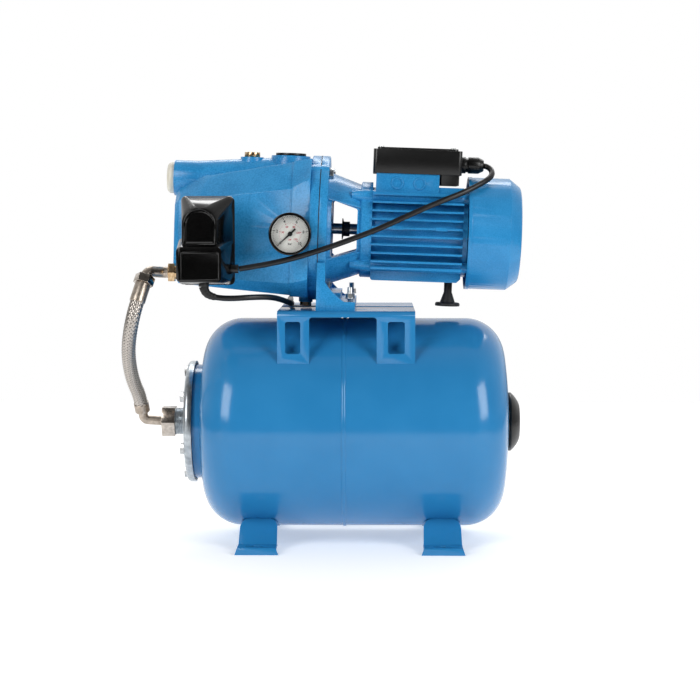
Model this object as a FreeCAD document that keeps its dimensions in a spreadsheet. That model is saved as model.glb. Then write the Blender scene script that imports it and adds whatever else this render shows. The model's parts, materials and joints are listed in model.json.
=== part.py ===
"""A water pressure set: a self-priming jet pump on a horizontal pressure tank.

Millimetres. The row frame has its origin on the floor in the middle of the four
foot bolts, +X towards the motor, +Y to the back and +Z up. The pump and its motor
are drawn about their own shaft axis and then set on the bracket with a slight lean.
"""

import FreeCAD, Part, Sketcher
import os
from math import atan2, cos, pi, radians, sin, sqrt, tan

Vector = FreeCAD.Vector
X_AXIS, Y_AXIS, Z_AXIS = Vector(1, 0, 0), Vector(0, 1, 0), Vector(0, 0, 1)

doc = FreeCAD.newDocument("pressure_set")

# ---------------------------------------------------------------- driving sizes
DRIVING_SIZES = [
    ("tank_radius", 135.0, "24 litre tank"),
    ("tank_wall", 2.0, "sheet of the two half shells"),
    ("tank_axis_height", 153.0, "tank axis over the floor"),
    ("tank_left", -196.0, "left crown of the tank"),
    ("tank_right", 204.0, "right crown of the tank"),
    ("seam_x", -8.0, "weld between the half shells"),
    ("knuckle_radius", 50.0, "small radius of the dished ends"),
    ("mouth_radius", 58.5, "opening that takes the bladder"),
    ("neck_radius", 74.0, "welded neck ring"),
    ("flange_face", -212.0, "outer face of the zinc flange"),
    ("flange_radius", 79.0, "zinc flange"),
    ("flange_bolt_circle", 66.0, "radius of the six bolts' circle"),
    ("foot_half_span", 116.6, "feet's distance from the middle"),
    ("foot_bolt_y", 111.0, "foot bolt holes, front and back"),
    ("foot_width", 55.5, "pressed foot"),
    ("foot_sheet", 2.5, "sheet of the feet and rails"),
    ("rail_top", 303.0, "top of the pump rails"),
    ("rail_left", -91.0, "left end of the rails"),
    ("rail_right", 81.0, "right end of the rails"),
    ("rail_reach", 105.0, "outer wall of the rails"),
    ("pump_joint_x", -40.0, "casing and bracket joint"),
    ("shaft_height", 405.0, "shaft axis over the floor at the joint"),
    ("lean_degrees", 2.0, "the set stands nose up on its rails"),
    ("casing_radius", 93.0, "round flange of the casing"),
    ("nozzle_height", 58.4, "suction axis over the shaft"),
    ("nozzle_radius", 22.8, "suction nozzle"),
    ("port_radius", 15.1, "G1 thread's core"),
    ("impeller_radius", 55.0, "closed impeller"),
    ("shaft_radius", 7.5, "shaft in its bearings"),
    ("running_gap", 0.05, "radial play of a running fit"),
    ("motor_left", 66.5, "motor housing's start"),
    ("motor_right", 182.0, "motor housing's end"),
    ("motor_half", 63.6, "half height over the fins"),
    ("shell_radius", 55.0, "motor shell under the fins"),
    ("stator_radius", 50.0, "stator core"),
    ("rotor_radius", 29.7, "rotor core"),
    ("fan_cover_radius", 71.8, "IEC 71 fan cover"),
    ("fin_pitch", 10.7, "cooling fins"),
    ("gauge_radius", 26.5, "50 mm pressure gauge"),
    ("hose_diameter", 18.0, "braided hose"),
    ("lead_diameter", 7.2, "round rubber lead"),
]

sheet = doc.addObject("Spreadsheet::Sheet", "dims")
for row, (alias, value, note) in enumerate(DRIVING_SIZES, start=1):
    sheet.set(f"A{row}", alias)
    sheet.set(f"B{row}", str(value))
    sheet.set(f"C{row}", note)
    sheet.setAlias(f"B{row}", alias)
doc.recompute()


class Size:
    """A length, kept both as a number and as the sheet expression that gives it."""

    def __init__(self, value, text):
        self.value = value
        self.text = text

    def __add__(self, other):
        other = as_size(other)
        return Size(self.value + other.value, f"({self.text} + {other.text})")

    def __sub__(self, other):
        other = as_size(other)
        return Size(self.value - other.value, f"({self.text} - {other.text})")

    def __mul__(self, factor):
        return Size(self.value * factor, f"({self.text} * {factor})")

    def __truediv__(self, factor):
        return Size(self.value / factor, f"({self.text} / {factor})")

    def __neg__(self):
        return Size(-self.value, f"(-{self.text})")

    def __rmul__(self, factor):
        return self * factor

    def __radd__(self, other):
        return as_size(other) + self

    def __rsub__(self, other):
        return as_size(other) - self

    def __float__(self):
        return float(self.value)


def as_size(value):
    if isinstance(value, Size):
        return value
    return Size(float(value), repr(float(value)) if value >= 0 else f"({float(value)!r})")


def dim(alias):
    return Size(float(sheet.get(alias)), f"dims.{alias}")


TANK_R, WALL, AXIS_Z = dim("tank_radius"), dim("tank_wall"), dim("tank_axis_height")
KNUCKLE, SEAM = dim("knuckle_radius"), dim("seam_x")
FLANGE_X, FLANGE_R = dim("flange_face"), dim("flange_radius")
SHEET, RAIL_TOP, RAIL_Y = dim("foot_sheet"), dim("rail_top"), dim("rail_reach")
SHAFT_R, GAP = dim("shaft_radius"), dim("running_gap")
CASING_R = dim("casing_radius")
NOZZLE_Z, NOZZLE_R, PORT_R = dim("nozzle_height"), dim("nozzle_radius"), dim("port_radius")
MOTOR_L, MOTOR_R, MOTOR_HALF = dim("motor_left"), dim("motor_right"), dim("motor_half")
SHELL_R, STATOR_R, ROTOR_R = dim("shell_radius"), dim("stator_radius"), dim("rotor_radius")
COVER_R, GAUGE_R = dim("fan_cover_radius"), dim("gauge_radius")
JOINT_X, SHAFT_Z = dim("pump_joint_x"), dim("shaft_height")

ROW = FreeCAD.Placement()
LEAN = FreeCAD.Placement(Vector(float(JOINT_X), 0, float(SHAFT_Z)),
                         FreeCAD.Rotation(Y_AXIS, float(dim("lean_degrees"))))
TANK = FreeCAD.Placement(Vector(0, 0, float(AXIS_Z)), FreeCAD.Rotation())

# ---------------------------------------------------------------- fixed places
# the tank: crown radius of its ends, and its outside and wall as plain numbers
CROWN_RADIUS = 655.0
OUTER, THIN = float(TANK_R), float(WALL)
# angles of the tank flange's bolts, the pump flange's bolts and the tie rods
BOLT_ANGLES = [35 + 60 * turn for turn in range(6)]
FLANGE_ANGLES = (56, 124, 236, 304)
ROD_ANGLES = (45, 135, 225, 315)
# studs that hold the bracket's foot to the rails
FOOT_STUD_X, FOOT_STUD_Y = -0.5, 70.0
# hose ends with the way the hose leaves them, and the middle of the tee
HOSE_TOP = Vector(-256.5, -112.0, 337.0)
HOSE_TOP_WAY = Vector(-0.25, -0.45, -0.86).normalize()
HOSE_FOOT = Vector(-272.4, -4.0, 166.0)
HOSE_FOOT_WAY = Vector(-0.1, -0.35, 0.93).normalize()
TEE = Vector(-223.0, -90.0, 351.0)
# along the shaft: front of the casing, depth of its spigot, plugs, ports and gauge
CASING_FRONT = -184.0
SPIGOT = 3.0
FILLER_X, OUTLET_X = -91.0, -41.0
SWITCH_PORT_X, SWITCH_PORT_Z = -150.0, -60.0
GAUGE_X, GAUGE_Z = -34.0, -7.0
# the gauge's own frame: its dial faces the front
GAUGE = LEAN.multiply(FreeCAD.Placement(Vector(GAUGE_X, 0, GAUGE_Z),
                                        FreeCAD.Rotation(X_AXIS, 90)))
# under the shaft: bottom of the bracket's foot
FOOT_LOW = -108.0
# motor: half a fin, the cover's arms, right end of the terminal box, and its gland
FIN_HALF = 1.3
ARM_X, ARM = 188.5, 3.0
BOX_RIGHT = 178.0
GLAND_Y, GLAND_Z = -15.0, 87.0
GLAND_END = 207.0
# pressure switch: its place, its springs, the lever's pivot, and where leads enter
SWITCH_X, SWITCH_Y = -178.0, -105.0
SPRING_X, SPRING_Z, LEVER_TOP = (-188.0, -166.0), 368.0, 384.0
LEAD_Y = -112.0
# mains lead: its real length, and the ring that its spare turns make on the floor
MAINS_LENGTH = 1500.0
COIL_MIDDLE_RADIUS = 39.0
COIL_CENTRE = Vector(-10, 138, 0)

nodes = {}


# ---------------------------------------------------------------- drawing helpers
def bind(thing, prop, value):
    """Gives a property a number, or binds it to the sheet when it is a Size."""
    thing.setExpression(prop, as_size(value).text)


def keep(label, thing, frame=ROW):
    """Names a finished sub-part and sets it in its frame."""
    thing.Label = label
    thing.Placement = frame
    nodes[label] = thing
    return thing


def draw(sketch, corners):
    """Draws a closed outline through the corners.

    A third number makes the edge that arrives at a corner an arc of that radius:
    it turns left when positive and right when negative.
    """
    count = len(corners)
    spots = [(float(c[0]), float(c[1])) for c in corners]
    edges, start_ends = [], []
    for i, corner in enumerate(corners):
        (ax, ay), (bx, by) = spots[i - 1], spots[i]
        if len(corner) == 2:
            edges.append(Part.LineSegment(Vector(ax, ay, 0), Vector(bx, by, 0)))
            start_ends.append((1, 2))
            continue
        radius = float(corner[2])
        half = sqrt((bx - ax) ** 2 + (by - ay) ** 2) / 2
        side = sqrt(max(radius ** 2 - half ** 2, 0)) * (1 if radius > 0 else -1)
        centre = Vector((ax + bx) / 2 - (by - ay) / (2 * half) * side,
                        (ay + by) / 2 + (bx - ax) / (2 * half) * side, 0)
        first, last = ((ax, ay), (bx, by)) if radius > 0 else ((bx, by), (ax, ay))
        angles = [atan2(p[1] - centre.y, p[0] - centre.x) for p in (first, last)]
        circle = Part.Circle(centre, Z_AXIS, abs(radius))
        edges.append(Part.ArcOfCircle(circle, angles[0], angles[1]))
        start_ends.append((1, 2) if radius > 0 else (2, 1))
    sketch.addGeometry(edges, False)
    for i in range(count):
        following = (i + 1) % count
        sketch.addConstraint(Sketcher.Constraint(
            "Coincident", i, start_ends[i][1], following, start_ends[following][0]))
    for i, corner in enumerate(corners):
        for kind, value in (("DistanceX", corner[0]), ("DistanceY", corner[1])):
            index = sketch.addConstraint(Sketcher.Constraint(
                kind, -1, 1, i, start_ends[i][1], float(value)))
            if isinstance(value, Size):
                bind(sketch, f"Constraints[{index}]", value)
        if len(corner) == 3:
            size = as_size(corner[2])
            index = sketch.addConstraint(Sketcher.Constraint("Radius", i, abs(size.value)))
            if isinstance(corner[2], Size):
                bind(sketch, f"Constraints[{index}]", size if size.value > 0 else -size)


def new_body(label):
    return doc.addObject("PartDesign::Body", "body_" + label)


def new_sketch(body, plane, offset, corners):
    """A sketch on one of the body's own planes, moved along its normal."""
    sketch = body.newObject("Sketcher::SketchObject", "sketch")
    origin_plane = [f for f in body.Origin.OriginFeatures if f.Role == plane + "_Plane"][0]
    sketch.AttachmentSupport = [(origin_plane, "")]
    sketch.MapMode = "FlatFace"
    sketch.AttachmentOffset = FreeCAD.Placement(Vector(0, 0, float(offset)), FreeCAD.Rotation())
    if isinstance(offset, Size):
        bind(sketch, "AttachmentOffset.Base.z", offset)
    draw(sketch, corners)
    return sketch


def turned(label, corners, axis="H_Axis"):
    """A turned piece: (x, radius) corners about the X axis, or (radius, z) about Z."""
    body = new_body(label)
    sketch = new_sketch(body, "XZ", 0, corners)
    revolution = body.newObject("PartDesign::Revolution", "turning")
    revolution.Profile = sketch
    revolution.ReferenceAxis = (sketch, [axis])
    revolution.Angle = 360
    return body


def padded(label, plane, corners, start, end):
    """A flat piece: the outline on a plane, from start to end along its normal."""
    body = new_body(label)
    sketch = new_sketch(body, plane, start, corners)
    pad = body.newObject("PartDesign::Pad", "pad")
    pad.Profile = sketch
    length = as_size(end) - as_size(start)
    pad.Length = length.value
    bind(pad, "Length", length)
    return body


def lofted(label, sections):
    """A cast body through outlines on YZ planes: (x, corners) from left to right."""
    body = new_body(label)
    sketches = [new_sketch(body, "YZ", x, corners) for x, corners in sections]
    loft = body.newObject("PartDesign::AdditiveLoft", "loft")
    loft.Profile = sketches[0]
    loft.Sections = sketches[1:]
    loft.Ruled = True
    return body


def rounded_loop(left, low, right, high, radius):
    """A rectangle with round corners: each arc arrives at the corner after it."""
    left, low, right, high = (as_size(v) for v in (left, low, right, high))
    return [(left + radius, low, radius), (right - radius, low),
            (right, low + radius, radius), (right, high - radius),
            (right - radius, high, radius), (left + radius, high),
            (left, high - radius, radius), (left, low + radius)]


def place(thing, at, towards=Z_AXIS, spin=0):
    """Stands a primitive at a point, with its own Z pointing the given way."""
    turn = FreeCAD.Rotation(Z_AXIS, Vector(*towards))
    thing.Placement = FreeCAD.Placement(Vector(*[float(v) for v in at]),
                                        turn * FreeCAD.Rotation(Z_AXIS, spin))
    for letter, value in zip("xyz", at):
        if isinstance(value, Size):
            bind(thing, "Placement.Base." + letter, value)
    return thing


def rod(at, towards, radius, length):
    thing = doc.addObject("Part::Cylinder", "rod")
    bind(thing, "Radius", radius)
    bind(thing, "Height", length)
    return place(thing, at, towards)


def cone(at, towards, radius, end_radius, length):
    thing = doc.addObject("Part::Cone", "cone")
    bind(thing, "Radius1", radius)
    bind(thing, "Radius2", end_radius)
    bind(thing, "Height", length)
    return place(thing, at, towards)


def hexagon(at, towards, across_flats, length, spin=0):
    thing = doc.addObject("Part::Prism", "hexagon")
    thing.Polygon = 6
    bind(thing, "Circumradius", as_size(across_flats) / sqrt(3))
    bind(thing, "Height", length)
    return place(thing, at, towards, spin)


def block(low, high):
    thing = doc.addObject("Part::Box", "block")
    for prop, a, b in zip(("Length", "Width", "Height"), low, high):
        bind(thing, prop, as_size(b) - as_size(a))
    return place(thing, low)


def ball(at, radius):
    thing = doc.addObject("Part::Sphere", "ball")
    bind(thing, "Radius", radius)
    return place(thing, at)


def joined(*things):
    thing = doc.addObject("Part::MultiFuse", "joined")
    thing.Shapes = list(things)
    return thing


def group(*things):
    thing = doc.addObject("Part::Compound", "group")
    thing.Links = list(things)
    return thing


def spun(angle, thing):
    """The thing turned about the X axis."""
    turned_thing = group(thing)
    turned_thing.Placement = FreeCAD.Placement(Vector(), FreeCAD.Rotation(X_AXIS, angle))
    return turned_thing


def cut(base, *tools):
    thing = doc.addObject("Part::Cut", "cut")
    thing.Base = base
    thing.Tool = tools[0] if len(tools) == 1 else joined(*tools)
    return thing


def common(*things):
    thing = doc.addObject("Part::MultiCommon", "common")
    thing.Shapes = list(things)
    return thing


def on_circle(radius, degrees_up):
    """A point of a circle about the X axis: y and z."""
    return -radius * cos(radians(degrees_up)), radius * sin(radians(degrees_up))


# ---------------------------------------------------------------- tank
def dished_end(radius, knuckle, crown, apex, side):
    """Apex to shoulder of a torispherical end: crown tangent point, then shoulder.

    side is -1 for the left end and +1 for the right one.
    """
    reach = crown - knuckle
    offset = radius - knuckle
    depth = crown - sqrt(reach ** 2 - offset ** 2)
    tangent = (apex - side * (crown - crown * sqrt(reach ** 2 - offset ** 2) / reach),
               crown * offset / reach)
    return tangent, (apex - side * depth, radius)


def crown_x(radius, apex, side, crown):
    """Where the crown sphere stands at a radius from the axis."""
    return apex - side * (crown - sqrt(crown ** 2 - radius ** 2))


def tank_half(label, apex, side, mouth, ring_corners, seam_corners):
    """One dished half shell, from its mouth round the outside to the seam and back."""
    outer_tangent, outer_shoulder = dished_end(OUTER, float(KNUCKLE), CROWN_RADIUS, apex, side)
    inner_tangent, inner_shoulder = dished_end(
        OUTER - THIN, float(KNUCKLE) - THIN, CROWN_RADIUS - THIN, apex - side * THIN, side)
    mouth_inside = (crown_x(mouth, apex - side * THIN, side, CROWN_RADIUS - THIN), mouth)
    outer_arc, inner_arc = side * 1.0, side * -1.0
    corners = ring_corners + [
        (*outer_tangent, outer_arc * CROWN_RADIUS),
        (outer_shoulder[0], TANK_R, outer_arc * KNUCKLE.value),
        *seam_corners,
        (inner_shoulder[0], TANK_R - WALL),
        (*inner_tangent, inner_arc * (float(KNUCKLE) - THIN)),
        (*mouth_inside, inner_arc * (CROWN_RADIUS - THIN))]
    return turned(label, corners)


def make_tank():
    left, right = float(dim("tank_left")), float(dim("tank_right"))
    mouth, neck = dim("mouth_radius"), dim("neck_radius")
    bead_left, bead_right = SEAM - 3, SEAM + 3
    ring_corners = [(FLANGE_X + 10, mouth), (FLANGE_X + 10, neck),
                    (crown_x(float(neck), left, -1, CROWN_RADIUS), neck)]
    shell = tank_half("left_half", left, -1, float(mouth), ring_corners,
                      [(bead_left, TANK_R), (bead_left, TANK_R - WALL)])
    holes = [rod((FLANGE_X + 9.9, *on_circle(float(dim("flange_bolt_circle")), angle)),
                 X_AXIS, 4, 8.1) for angle in BOLT_ANGLES]
    keep("tank_shell_left", cut(shell, *holes), TANK)
    stem_hole = 8.0
    right_mouth = [(crown_x(stem_hole, right, 1, CROWN_RADIUS), stem_hole)]
    keep("tank_shell_right", tank_half(
        "right_half", right, 1, stem_hole, right_mouth,
        [(bead_right, TANK_R), (bead_left, TANK_R, 4.0),
         (bead_left, TANK_R - WALL)]), TANK)
    bag = TANK_R - WALL - 6
    keep("tank_bladder", turned("bladder", [
        (FLANGE_X + 3, 53), (FLANGE_X + 3, 61), (FLANGE_X + 10, 61), (FLANGE_X + 10, 56.5),
        (FLANGE_X + 28, 56.5), (FLANGE_X + 62, bag - 20), (-120, bag), (110, bag),
        (160, bag - 30), (180, 40), (180, 0), (177.5, 0), (177.5, 39), (158, bag - 32.5),
        (109, bag - 2.5), (-119, bag - 2.5), (FLANGE_X + 64, bag - 22.5),
        (FLANGE_X + 26, 53)]), TANK)


def make_tank_flange():
    plate = turned("flange_plate", [
        (FLANGE_X - 28, 12), (FLANGE_X - 28, PORT_R + 1.5), (FLANGE_X, PORT_R + 1.5),
        (FLANGE_X, FLANGE_R - 5), (FLANGE_X + 5, FLANGE_R, -5.0), (FLANGE_X + 10, FLANGE_R),
        (FLANGE_X + 10, FLANGE_R - 2.5), (FLANGE_X + 5.5, FLANGE_R - 2.5),
        (FLANGE_X + 3, FLANGE_R - 5, 2.5), (FLANGE_X + 3, 12)])
    circle = float(dim("flange_bolt_circle"))
    holes = [rod((FLANGE_X - 1, *on_circle(circle, angle)), X_AXIS, 4.5, 6)
             for angle in BOLT_ANGLES]
    keep("tank_flange", cut(plate, *holes), TANK)
    bolts = []
    for angle in BOLT_ANGLES:
        y, z = on_circle(circle, angle)
        head = hexagon((FLANGE_X - 5.5, y, z), X_AXIS, 13, 5.5, spin=angle)
        washer = rod((FLANGE_X - 1.2, y, z), X_AXIS, 8, 1.2)
        shank = rod((FLANGE_X - 1, y, z), X_AXIS, 3.95, 18)
        bolts.append(joined(head, washer, shank))
    keep("tank_flange_bolts", group(*bolts), TANK)


def make_foot(label, x):
    """A pressed saddle: two pads, two sloping legs and a web round the tank."""
    width = dim("foot_width")
    top_y, top_z = 68.0, float(AXIS_Z) - sqrt(OUTER ** 2 - 68.0 ** 2)
    inner_y, inner_z = top_y - 1.8, top_z - 2.6
    pad_z, toe = 9.0, 125.0
    left, right = x - width / 2, x + width / 2
    outer = padded(label + "_outer", "YZ", [
        (-toe, 0), (-toe, pad_z - 2), (-toe + 2, pad_z, -2.0), (-98, pad_z),
        (-top_y, top_z), (top_y, top_z, TANK_R), (98, pad_z), (toe - 2, pad_z),
        (toe, pad_z - 2, -2.0), (toe, 0)], left, right)
    under = block((left - 1, -toe + SHEET, -1), (right + 1, toe - SHEET, pad_z - SHEET))
    inside = padded(label + "_inside", "YZ", [
        (-96, pad_z - 3), (-inner_y, inner_z),
        (inner_y, inner_z, TANK_R + SHEET), (96, pad_z - 3)], left + SHEET, right - SHEET)
    lean, flare, shoulder = float(width) / 2 - 23.8, 3.5, 11.0
    sides = []
    for side in (-1, 1):
        edge, far = x + side * width / 2, x + side * (width / 2 + 20)
        top = edge - side * lean
        sides.append(padded(label + "_trim", "XZ", [
            (edge, -1), (edge - side * flare, pad_z), (top, top_z - shoulder),
            (top - side * shoulder, top_z, side * shoulder), (top - side * shoulder, 60),
            (far, 60), (far, -1)], -toe - 5, toe + 5))
    bolt_rows = (-dim("foot_bolt_y"), dim("foot_bolt_y"))
    collars = [rod((x, y, 0), Z_AXIS, 8, pad_z - 1) for y in bolt_rows]
    holes = [rod((x, y, -1), Z_AXIS, 4.5, pad_z + 2) for y in bolt_rows]
    keep(label, cut(joined(cut(outer, under, inside, *sides), *collars), *holes))


def make_rail(label, side):
    """A pressed rail: top flange, outer wall with two legs, and an inner lip."""
    wall, lip, bend = RAIL_Y, 8.0, 7.0
    low = 230.0
    profile = [(-wall, low), (-wall, RAIL_TOP - bend), (-wall + bend, RAIL_TOP, -bend),
               (-lip, RAIL_TOP), (-lip, 270), (-lip - SHEET, 270),
               (-lip - SHEET, RAIL_TOP - SHEET), (-wall + bend, RAIL_TOP - SHEET),
               (-wall + SHEET, RAIL_TOP - bend, float(bend - SHEET)), (-wall + SHEET, low)]
    if side > 0:
        profile = [(-c[0], c[1], *[-c[2] for _ in c[2:]]) for c in profile]
    left, right = dim("rail_left"), dim("rail_right")
    sheet_metal = padded(label + "_sheet", "YZ", profile, left, right)
    y_low, y_high = sorted((side * 95.0, side * 112.0))
    gap = padded(label + "_gap", "XZ", rounded_loop(left + 40, 200, right - 48, 295.5, 4),
                 -y_high, -y_low)
    windows = [padded(label + "_window", "XZ", rounded_loop(x, 250, x + width, 290, 3),
                      -y_high, -y_low) for x, width in ((left + 10, 19), (right - 34, 21))]
    saddle = rod((left - 1, 0, AXIS_Z), X_AXIS, TANK_R, right - left + 2)
    bead_notch = rod((SEAM - 5, 0, AXIS_Z), X_AXIS, TANK_R + 1.8, 10)
    stud = rod((FOOT_STUD_X, side * FOOT_STUD_Y, RAIL_TOP - SHEET - 1), Z_AXIS, 3.3, SHEET + 2)
    keep(label, cut(sheet_metal, gap, *windows, saddle, bead_notch, stud))


def make_air_valve():
    tip = dim("tank_right")
    keep("air_valve_stem", turned("stem", [
        (tip - 8, 2.2), (tip - 8, 12), (tip - 2.4, 12), (tip - 2.4, 7.9), (tip + 0.2, 7.9),
        (tip + 0.2, 3.9), (tip + 11, 3.9), (tip + 11, 2.2)]), TANK)
    keep("air_valve_core", turned("core", [
        (tip - 6, 0), (tip - 6, 1.6), (tip + 5, 1.6), (tip + 5, 0.8), (tip + 10, 0.8),
        (tip + 10, 0)]), TANK)
    dome = turned("cap_dome", [
        (tip + 1.0, 5), (tip + 1.0, 38), (tip + 3.2, 38.25), (tip + 11, 29.5, -34.0),
        (tip + 14.6, 22, -24.0), (tip + 15.2, 0), (tip + 12.6, 0), (tip + 12.6, 5)])
    dimples = []
    for turn in range(12):
        y, z = on_circle(34.5, 30 * turn)
        outward = Vector(1, y / 34.5, z / 34.5)
        dimples.append(place(ball((0, 0, 0), 7), (tip + 15.2, y * 1.03, z * 1.03), outward))
    keep("air_valve_cap", cut(dome, *dimples), TANK)


# ---------------------------------------------------------------- hose and its fittings
def bent_tube(radius, points, bore=0):
    """A bent tube: straight runs with an arc at each inner point."""
    path = runs_and_arcs(points)
    shape = swept(path, radius)
    if bore:
        shape = shape.cut(swept(path, bore))
    return shape


def runs_and_arcs(points, report=None):
    """Straight runs joined by tangent arcs, each as large as its two runs allow."""
    points = [Vector(*p) for p in points]
    edges, last = [], points[0]
    for before, here, after in zip(points, points[1:], points[2:]):
        inward, outward = (here - before), (after - here)
        half_turn = inward.getAngle(outward) / 2
        setback = 0.45 * min(inward.Length, outward.Length)
        radius = setback / tan(half_turn)
        start = here - Vector(inward).normalize() * setback
        end = here + Vector(outward).normalize() * setback
        to_centre = (Vector(outward).normalize() - Vector(inward).normalize()).normalize()
        middle = here + to_centre * (radius / cos(half_turn) - radius)
        edges.append(Part.LineSegment(last, start).toShape())
        edges.append(Part.Arc(start, middle, end).toShape())
        last = end
        if report is not None:
            report.append(radius)
    edges.append(Part.LineSegment(last, points[-1]).toShape())
    return Part.Wire(edges)


def swept(path, radius):
    start = path.Edges[0]
    direction = start.tangentAt(start.FirstParameter)
    profile = Part.Wire([Part.Circle(start.valueAt(start.FirstParameter), direction,
                                     float(radius)).toShape()])
    return path.makePipeShell([profile], True, False)


def shaped(label, shape, frame=ROW):
    """A sub-part whose shape no primitive or body gives."""
    thing = doc.addObject("Part::Feature", "shape_" + label)
    thing.Shape = shape
    return keep(label, thing, frame)


def make_cord(label, points, diameter):
    """A cord's tube; its volume has to be its section times its length."""
    radii = []
    path = runs_and_arcs(points, radii)
    tube = swept(path, diameter / 2)
    expected = pi * diameter ** 2 / 4 * path.Length
    print(f"{label}: length {path.Length:.1f}, radii {min(radii):.0f} to {max(radii):.0f},"
          f" volume {tube.Volume / expected:.4f} of its section times its length")
    shaped(label, tube)
    return path.Length


def make_hose():
    route = [HOSE_TOP, HOSE_TOP + HOSE_TOP_WAY * 27, (-270, -124, 288),
             (-277, -102, 258), (-280, -70, 232), (-279, -42, 208),
             HOSE_FOOT + HOSE_FOOT_WAY * 22, HOSE_FOOT]
    make_cord("braided_hose", route, float(dim("hose_diameter")))


def make_hose_fittings():
    nut = cut(hexagon((FLANGE_X - 34.5, 0, AXIS_Z), X_AXIS, 37, 17.1, spin=30),
              rod((FLANGE_X - 30.5, 0, AXIS_Z), X_AXIS, PORT_R + 1.55, 14),
              rod((FLANGE_X - 35, 0, AXIS_Z), X_AXIS, 6.6, 10))
    keep("hose_lower_nut", nut)
    start = Vector(float(FLANGE_X) - 30.5, 0, float(AXIS_Z))
    corner = HOSE_FOOT - HOSE_FOOT_WAY * 12
    outside = swept(runs_and_arcs([start, corner, HOSE_FOOT]), 6.0)
    collar = Part.makeCylinder(14.5, 2.5, start, X_AXIS)
    inside = swept(runs_and_arcs([start + X_AXIS * 5, corner, HOSE_FOOT + HOSE_FOOT_WAY]), 4.0)
    shaped("hose_lower_elbow", outside.fuse(collar).cut(inside))
    nut_low = HOSE_TOP - HOSE_TOP_WAY * 11
    upper = hexagon(nut_low, HOSE_TOP_WAY, 22, 11)
    keep("hose_upper_nut", cut(upper, rod(nut_low - HOSE_TOP_WAY, HOSE_TOP_WAY, 7.05, 16)))
    tube = bent_tube(7.0, [TEE - X_AXIS * 4, TEE - X_AXIS * 12,
                           nut_low - HOSE_TOP_WAY * 7.5, HOSE_TOP], bore=5.0)
    shaped("hose_upper_elbow", tube)


# ---------------------------------------------------------------- pump head
# each casing station: x, half widths at crest, shoulder, middle, hip and keel,
# then heights of crest, shoulder, hip and keel
CASING_OUTSIDE = (
    (0, 30, 50, 52, 50, 34, 40, 24, -58, -68),
    (6, 30, 57, 59.5, 56, 40, 46, 30, -62, -76),
    (34, 30, 62, 65, 62, 46, 61, 33, -66, -78),
    (150, 44, 74, 77, 73, 50, 83, 49, -70, -86))
CASING_FLARE = (
    (149, 45, 75.5, 78.5, 74.5, 51, 84.5, 50.5, -70, -87.5),
    (172, 50, 80, 87, 80, 50, 88, 62, -64, -88))
CASING_INSIDE = (
    (14, 24, 47, 49, 47, 33, 39, 24, -54, -65),
    (32, 25, 54, 57, 54, 42, 53, 28, -60, -70),
    (154, 38, 67, 70, 66, 44, 75, 45, -64, -78))


def stations(table):
    """Outlines with flat facets: crest, shoulder, middle, hip and keel on each side."""
    outlines = []
    for x, crest, shoulder, middle, hip, keel, top, shoulder_z, hip_z, keel_z in table:
        right = [(keel, keel_z), (hip, hip_z), (middle, 0), (shoulder, shoulder_z), (crest, top)]
        left = [(-y, z) for y, z in reversed(right)]
        outlines.append((CASING_FRONT + x, right + left))
    return outlines


def make_casing():
    outer = lofted("casing_body", stations(CASING_OUTSIDE))
    flare = lofted("casing_flare", stations(CASING_FLARE))
    inner = lofted("casing_room", stations(CASING_INSIDE))
    flange = turned("casing_flange", [(-12, 40), (-12, CASING_R - 1), (-11, CASING_R),
                                      (0, CASING_R), (0, 40)])
    shoulder = turned("casing_shoulder", [(-34, 40), (-34, 76), (-12, 88), (-12, 40)])
    nozzle = rod((-190, 0, NOZZLE_Z), X_AXIS, NOZZLE_R, 40)
    roof = cone((-160, 0, NOZZLE_Z), Vector(1, 0, 0.04), NOZZLE_R, 27.5, 140)
    filler = rod((FILLER_X, 0, 60), Z_AXIS, 15, 28.3)
    outlet = cone((OUTLET_X, 0, 60), Z_AXIS, 30, 25, 31.5)
    drain = rod((-16, 0, -96), Z_AXIS, 9, 20)
    stud_pads = [rod((-12, *flange_bolt(angle)), X_AXIS, 9.5, 12) for angle in FLANGE_ANGLES]
    gauge_boss = rod((GAUGE_X, -60, GAUGE_Z), -Y_AXIS, 11, 26)
    switch_boss = rod((SWITCH_PORT_X, -50, SWITCH_PORT_Z), -Y_AXIS, 12, 16)
    solid = joined(outer, flare, flange, shoulder, nozzle, roof, filler, outlet, drain,
                   gauge_boss, switch_boss, *stud_pads)
    room = turned("impeller_room", [(-46, 0), (-46, 72), (-SPIGOT, 72), (-SPIGOT, 78),
                                    (1, 78), (1, 0)])
    bores = [rod((-191, 0, NOZZLE_Z), X_AXIS, PORT_R, 60),
             rod((OUTLET_X, 0, 60), Z_AXIS, PORT_R, 40),
             rod((FILLER_X, 0, 40), Z_AXIS, 8.5, 60),
             rod((-16, 0, -97), Z_AXIS, 5, 30),
             rod((GAUGE_X, -40, GAUGE_Z), -Y_AXIS, 5, 50),
             rod((SWITCH_PORT_X, -30, SWITCH_PORT_Z), -Y_AXIS, 5, 40)]
    bolt_holes = [rod((-13, *flange_bolt(angle)), X_AXIS, 4.1, 15) for angle in FLANGE_ANGLES]
    keep("pump_casing", cut(solid, inner, room, *bores, *bolt_holes), LEAN)


def flange_bolt(angle):
    return on_circle(84.5, angle)


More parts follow.
